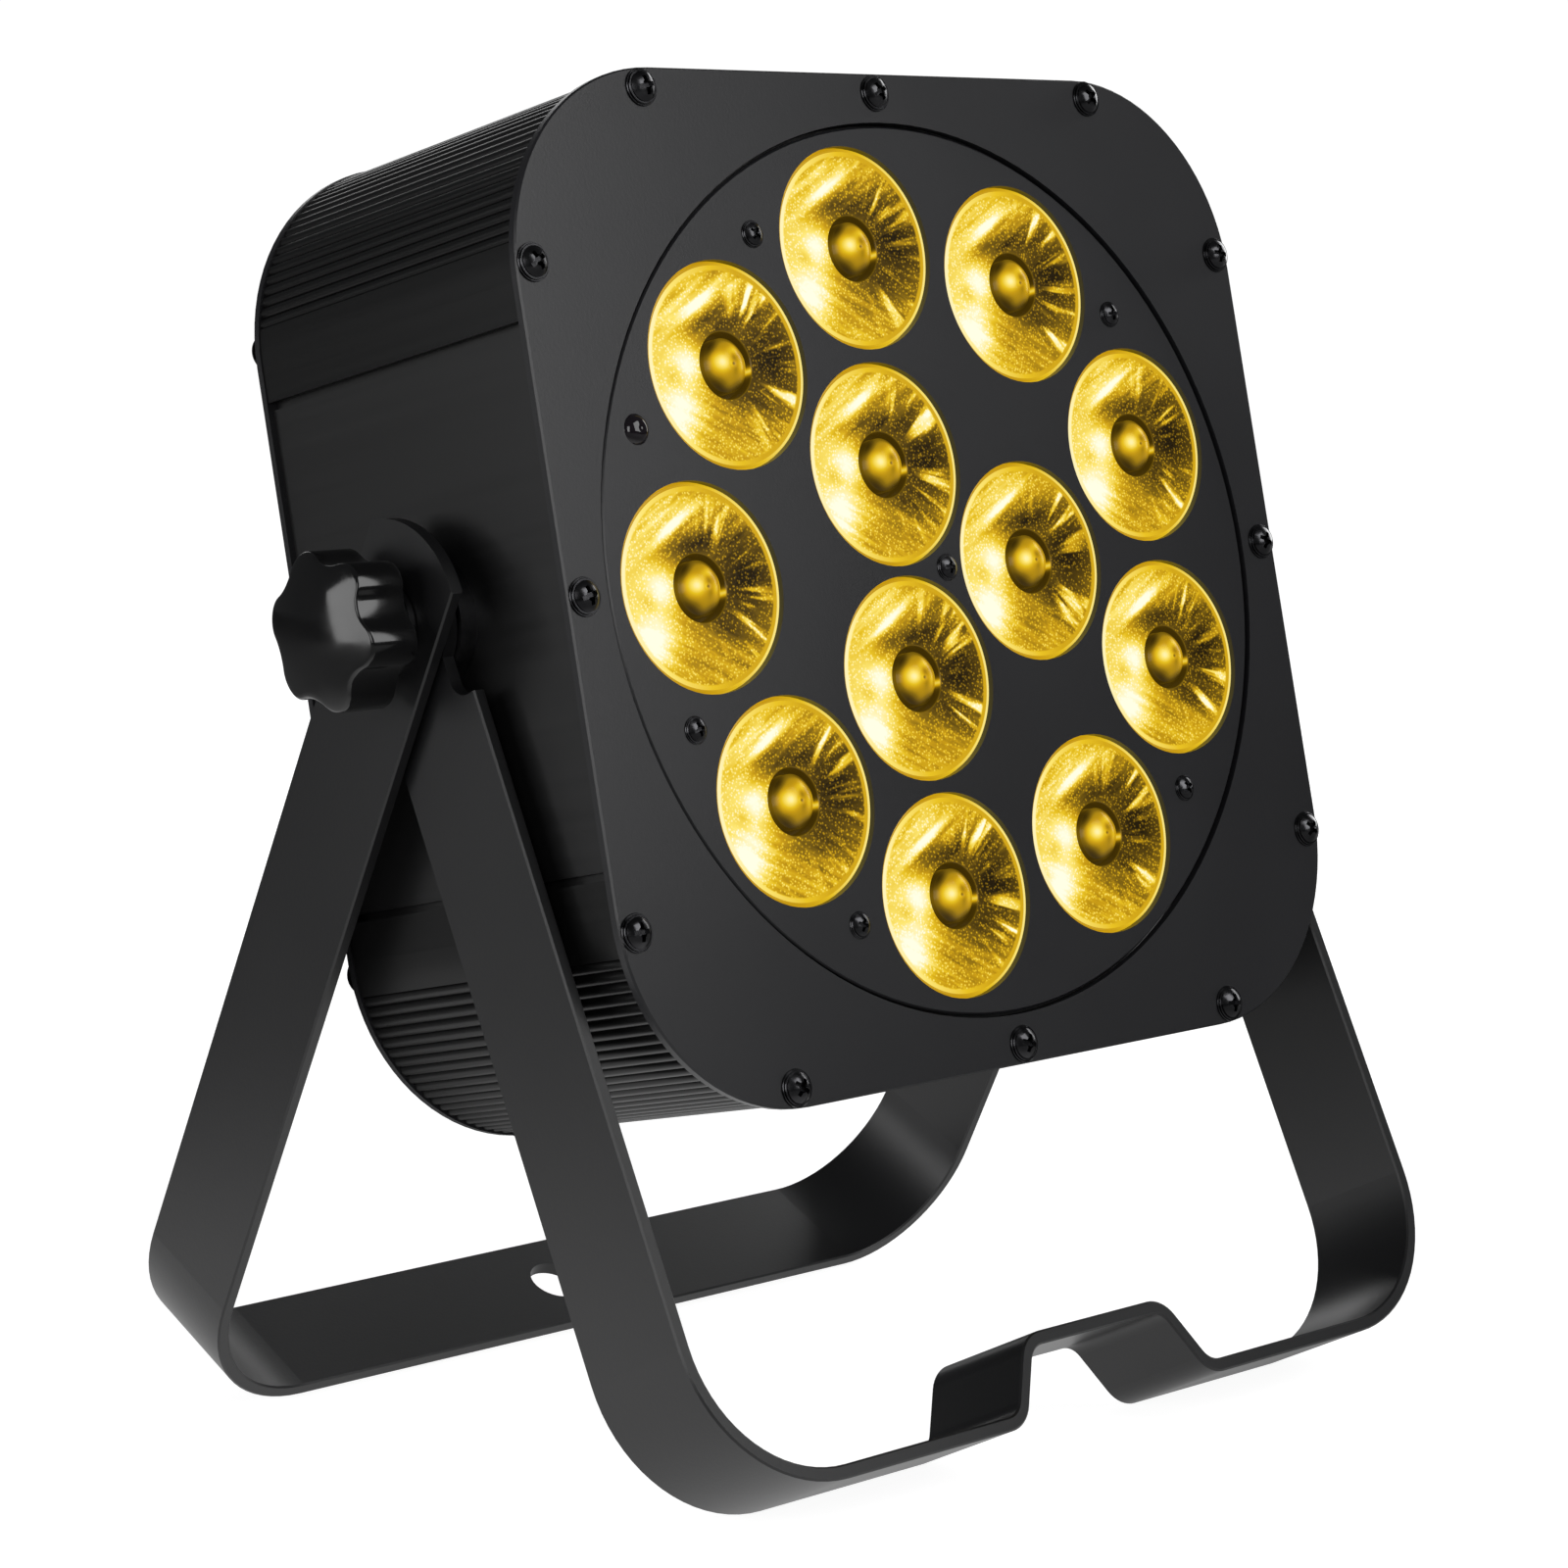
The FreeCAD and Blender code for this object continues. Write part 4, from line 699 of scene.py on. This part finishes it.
# The camera stands left of the light and a little below its middle, as the fixture frame sees it.  Its aim
# is in the shared frame.
CAMERA_AT = (-663.6, -644.8, -68.6)
CAMERA_AIM = (0.6838, 0.7210, -0.1121)
CAMERA_ROLL = 1.21
CAMERA_LENS = 96.97
SENSOR = 36.0
CAMERA_FAR = 50.0


def rolled(degrees):
    return Matrix.Rotation(math.radians(degrees), 3, "Z").to_quaternion()


def backdrop_white():
    """White for the camera, with a faint painted shade under the object; matt for the light that it returns, with
    a painted pool of glow under the object that lights it.
    """
    made = Finish("backdrop_white", Roughness=0.9, Specular_IOR_Level=0.0)
    tone = made.noise(made.place(), 3.0, 2.0)
    made.set(Base_Color=made.ramp(tone, [(0.0, (0.30,) * 3), (1.0, (0.29,) * 3)]))
    away = made.vector("LENGTH", made.place())
    # Painted shade: the camera sees the floor a little darker near the object.
    shown = made.span(away, *FLOOR_SHADE_SPAN, FLOOR_SHADED_NEAR, FLOOR_FAR, smooth=True)
    under = made.vector("LENGTH", made.vector("SUBTRACT", made.place(), FLOOR_LIT_AT))
    # Painted pool of glow under the object, seen only by rays other than the camera's, so it lights the object
    # from below.
    painted_glow = made.span(under, *FLOOR_LIT_SPAN, FLOOR_PAINTED_GLOW, 0.0, smooth=True)
    seen = made.node("ShaderNodeLightPath").outputs["Is Camera Ray"]
    glow = made.maths("ADD", made.maths("MULTIPLY", seen, made.maths("SUBTRACT", shown, painted_glow)), painted_glow)
    made.shader.inputs["Emission Color"].default_value = (1, 1, 1, 1)
    made.set(Emission_Strength=glow)
    return made.material


def add_floor():
    mesh = bpy.data.meshes.new("floor")
    half = FLOOR_HALF
    corners = [(-half, -half, 0), (half, -half, 0), (half, half, 0), (-half, half, 0)]
    mesh.from_pydata(corners, [], [(0, 1, 2, 3)])
    mesh.materials.append(backdrop_white())
    floor = bpy.data.objects.new("floor", mesh)
    bpy.context.scene.collection.objects.link(floor)


def add_world():
    """White studio for the camera; dim walls for what the object mirrors."""
    world = bpy.data.worlds.new("studio")
    bpy.context.scene.world = world
    world.use_nodes = True
    nodes, links = world.node_tree.nodes, world.node_tree.links
    nodes.clear()
    output = nodes.new("ShaderNodeOutputWorld")
    mix = nodes.new("ShaderNodeMixShader")
    path = nodes.new("ShaderNodeLightPath")
    for index, (shade, strength) in enumerate((WORLD_MIRRORED, WORLD_SEEN), start=1):
        background = nodes.new("ShaderNodeBackground")
        background.inputs["Color"].default_value = shade
        background.inputs["Strength"].default_value = strength
        links.new(background.outputs[0], mix.inputs[index])
    links.new(path.outputs["Is Camera Ray"], mix.inputs[0])
    links.new(mix.outputs[0], output.inputs["Surface"])


def add_light(name, place, aim, size, watts, roll):
    """Softbox at a place in the shared frame, turned to its aim."""
    data = bpy.data.lights.new(name, "AREA")
    data.shape = "RECTANGLE"
    data.size, data.size_y = size
    data.energy = watts
    light = bpy.data.objects.new(name, data)
    bpy.context.scene.collection.objects.link(light)
    light.location = place
    light.rotation_mode = "QUATERNION"
    turn = (Vector(aim) - Vector(place)).to_track_quat("-Z", "Y")
    light.rotation_quaternion = turn @ rolled(roll)


def add_camera():
    data = bpy.data.cameras.new("camera")
    data.lens = CAMERA_LENS
    data.sensor_width = SENSOR
    data.clip_end = CAMERA_FAR
    camera = bpy.data.objects.new("camera", data)
    bpy.context.scene.collection.objects.link(camera)
    camera.rotation_mode = "QUATERNION"
    camera.rotation_quaternion = Vector(CAMERA_AIM).to_track_quat("-Z", "Y") @ rolled(-CAMERA_ROLL)
    camera.location = fixture(*CAMERA_AT)
    bpy.context.scene.camera = camera


finish_cad_nodes()
add_lenses()
for side, word in ((-1, "left"), (1, "right")):
    add_knob(side, word)

add_floor()
add_world()
plate_centre = fixture(0, 0, 0)
for name, place, size, watts, roll in SOFTBOXES:
    add_light(name, place, plate_centre, size, watts, roll)
add_camera()
bpy.context.scene.view_settings.view_transform = "Standard"
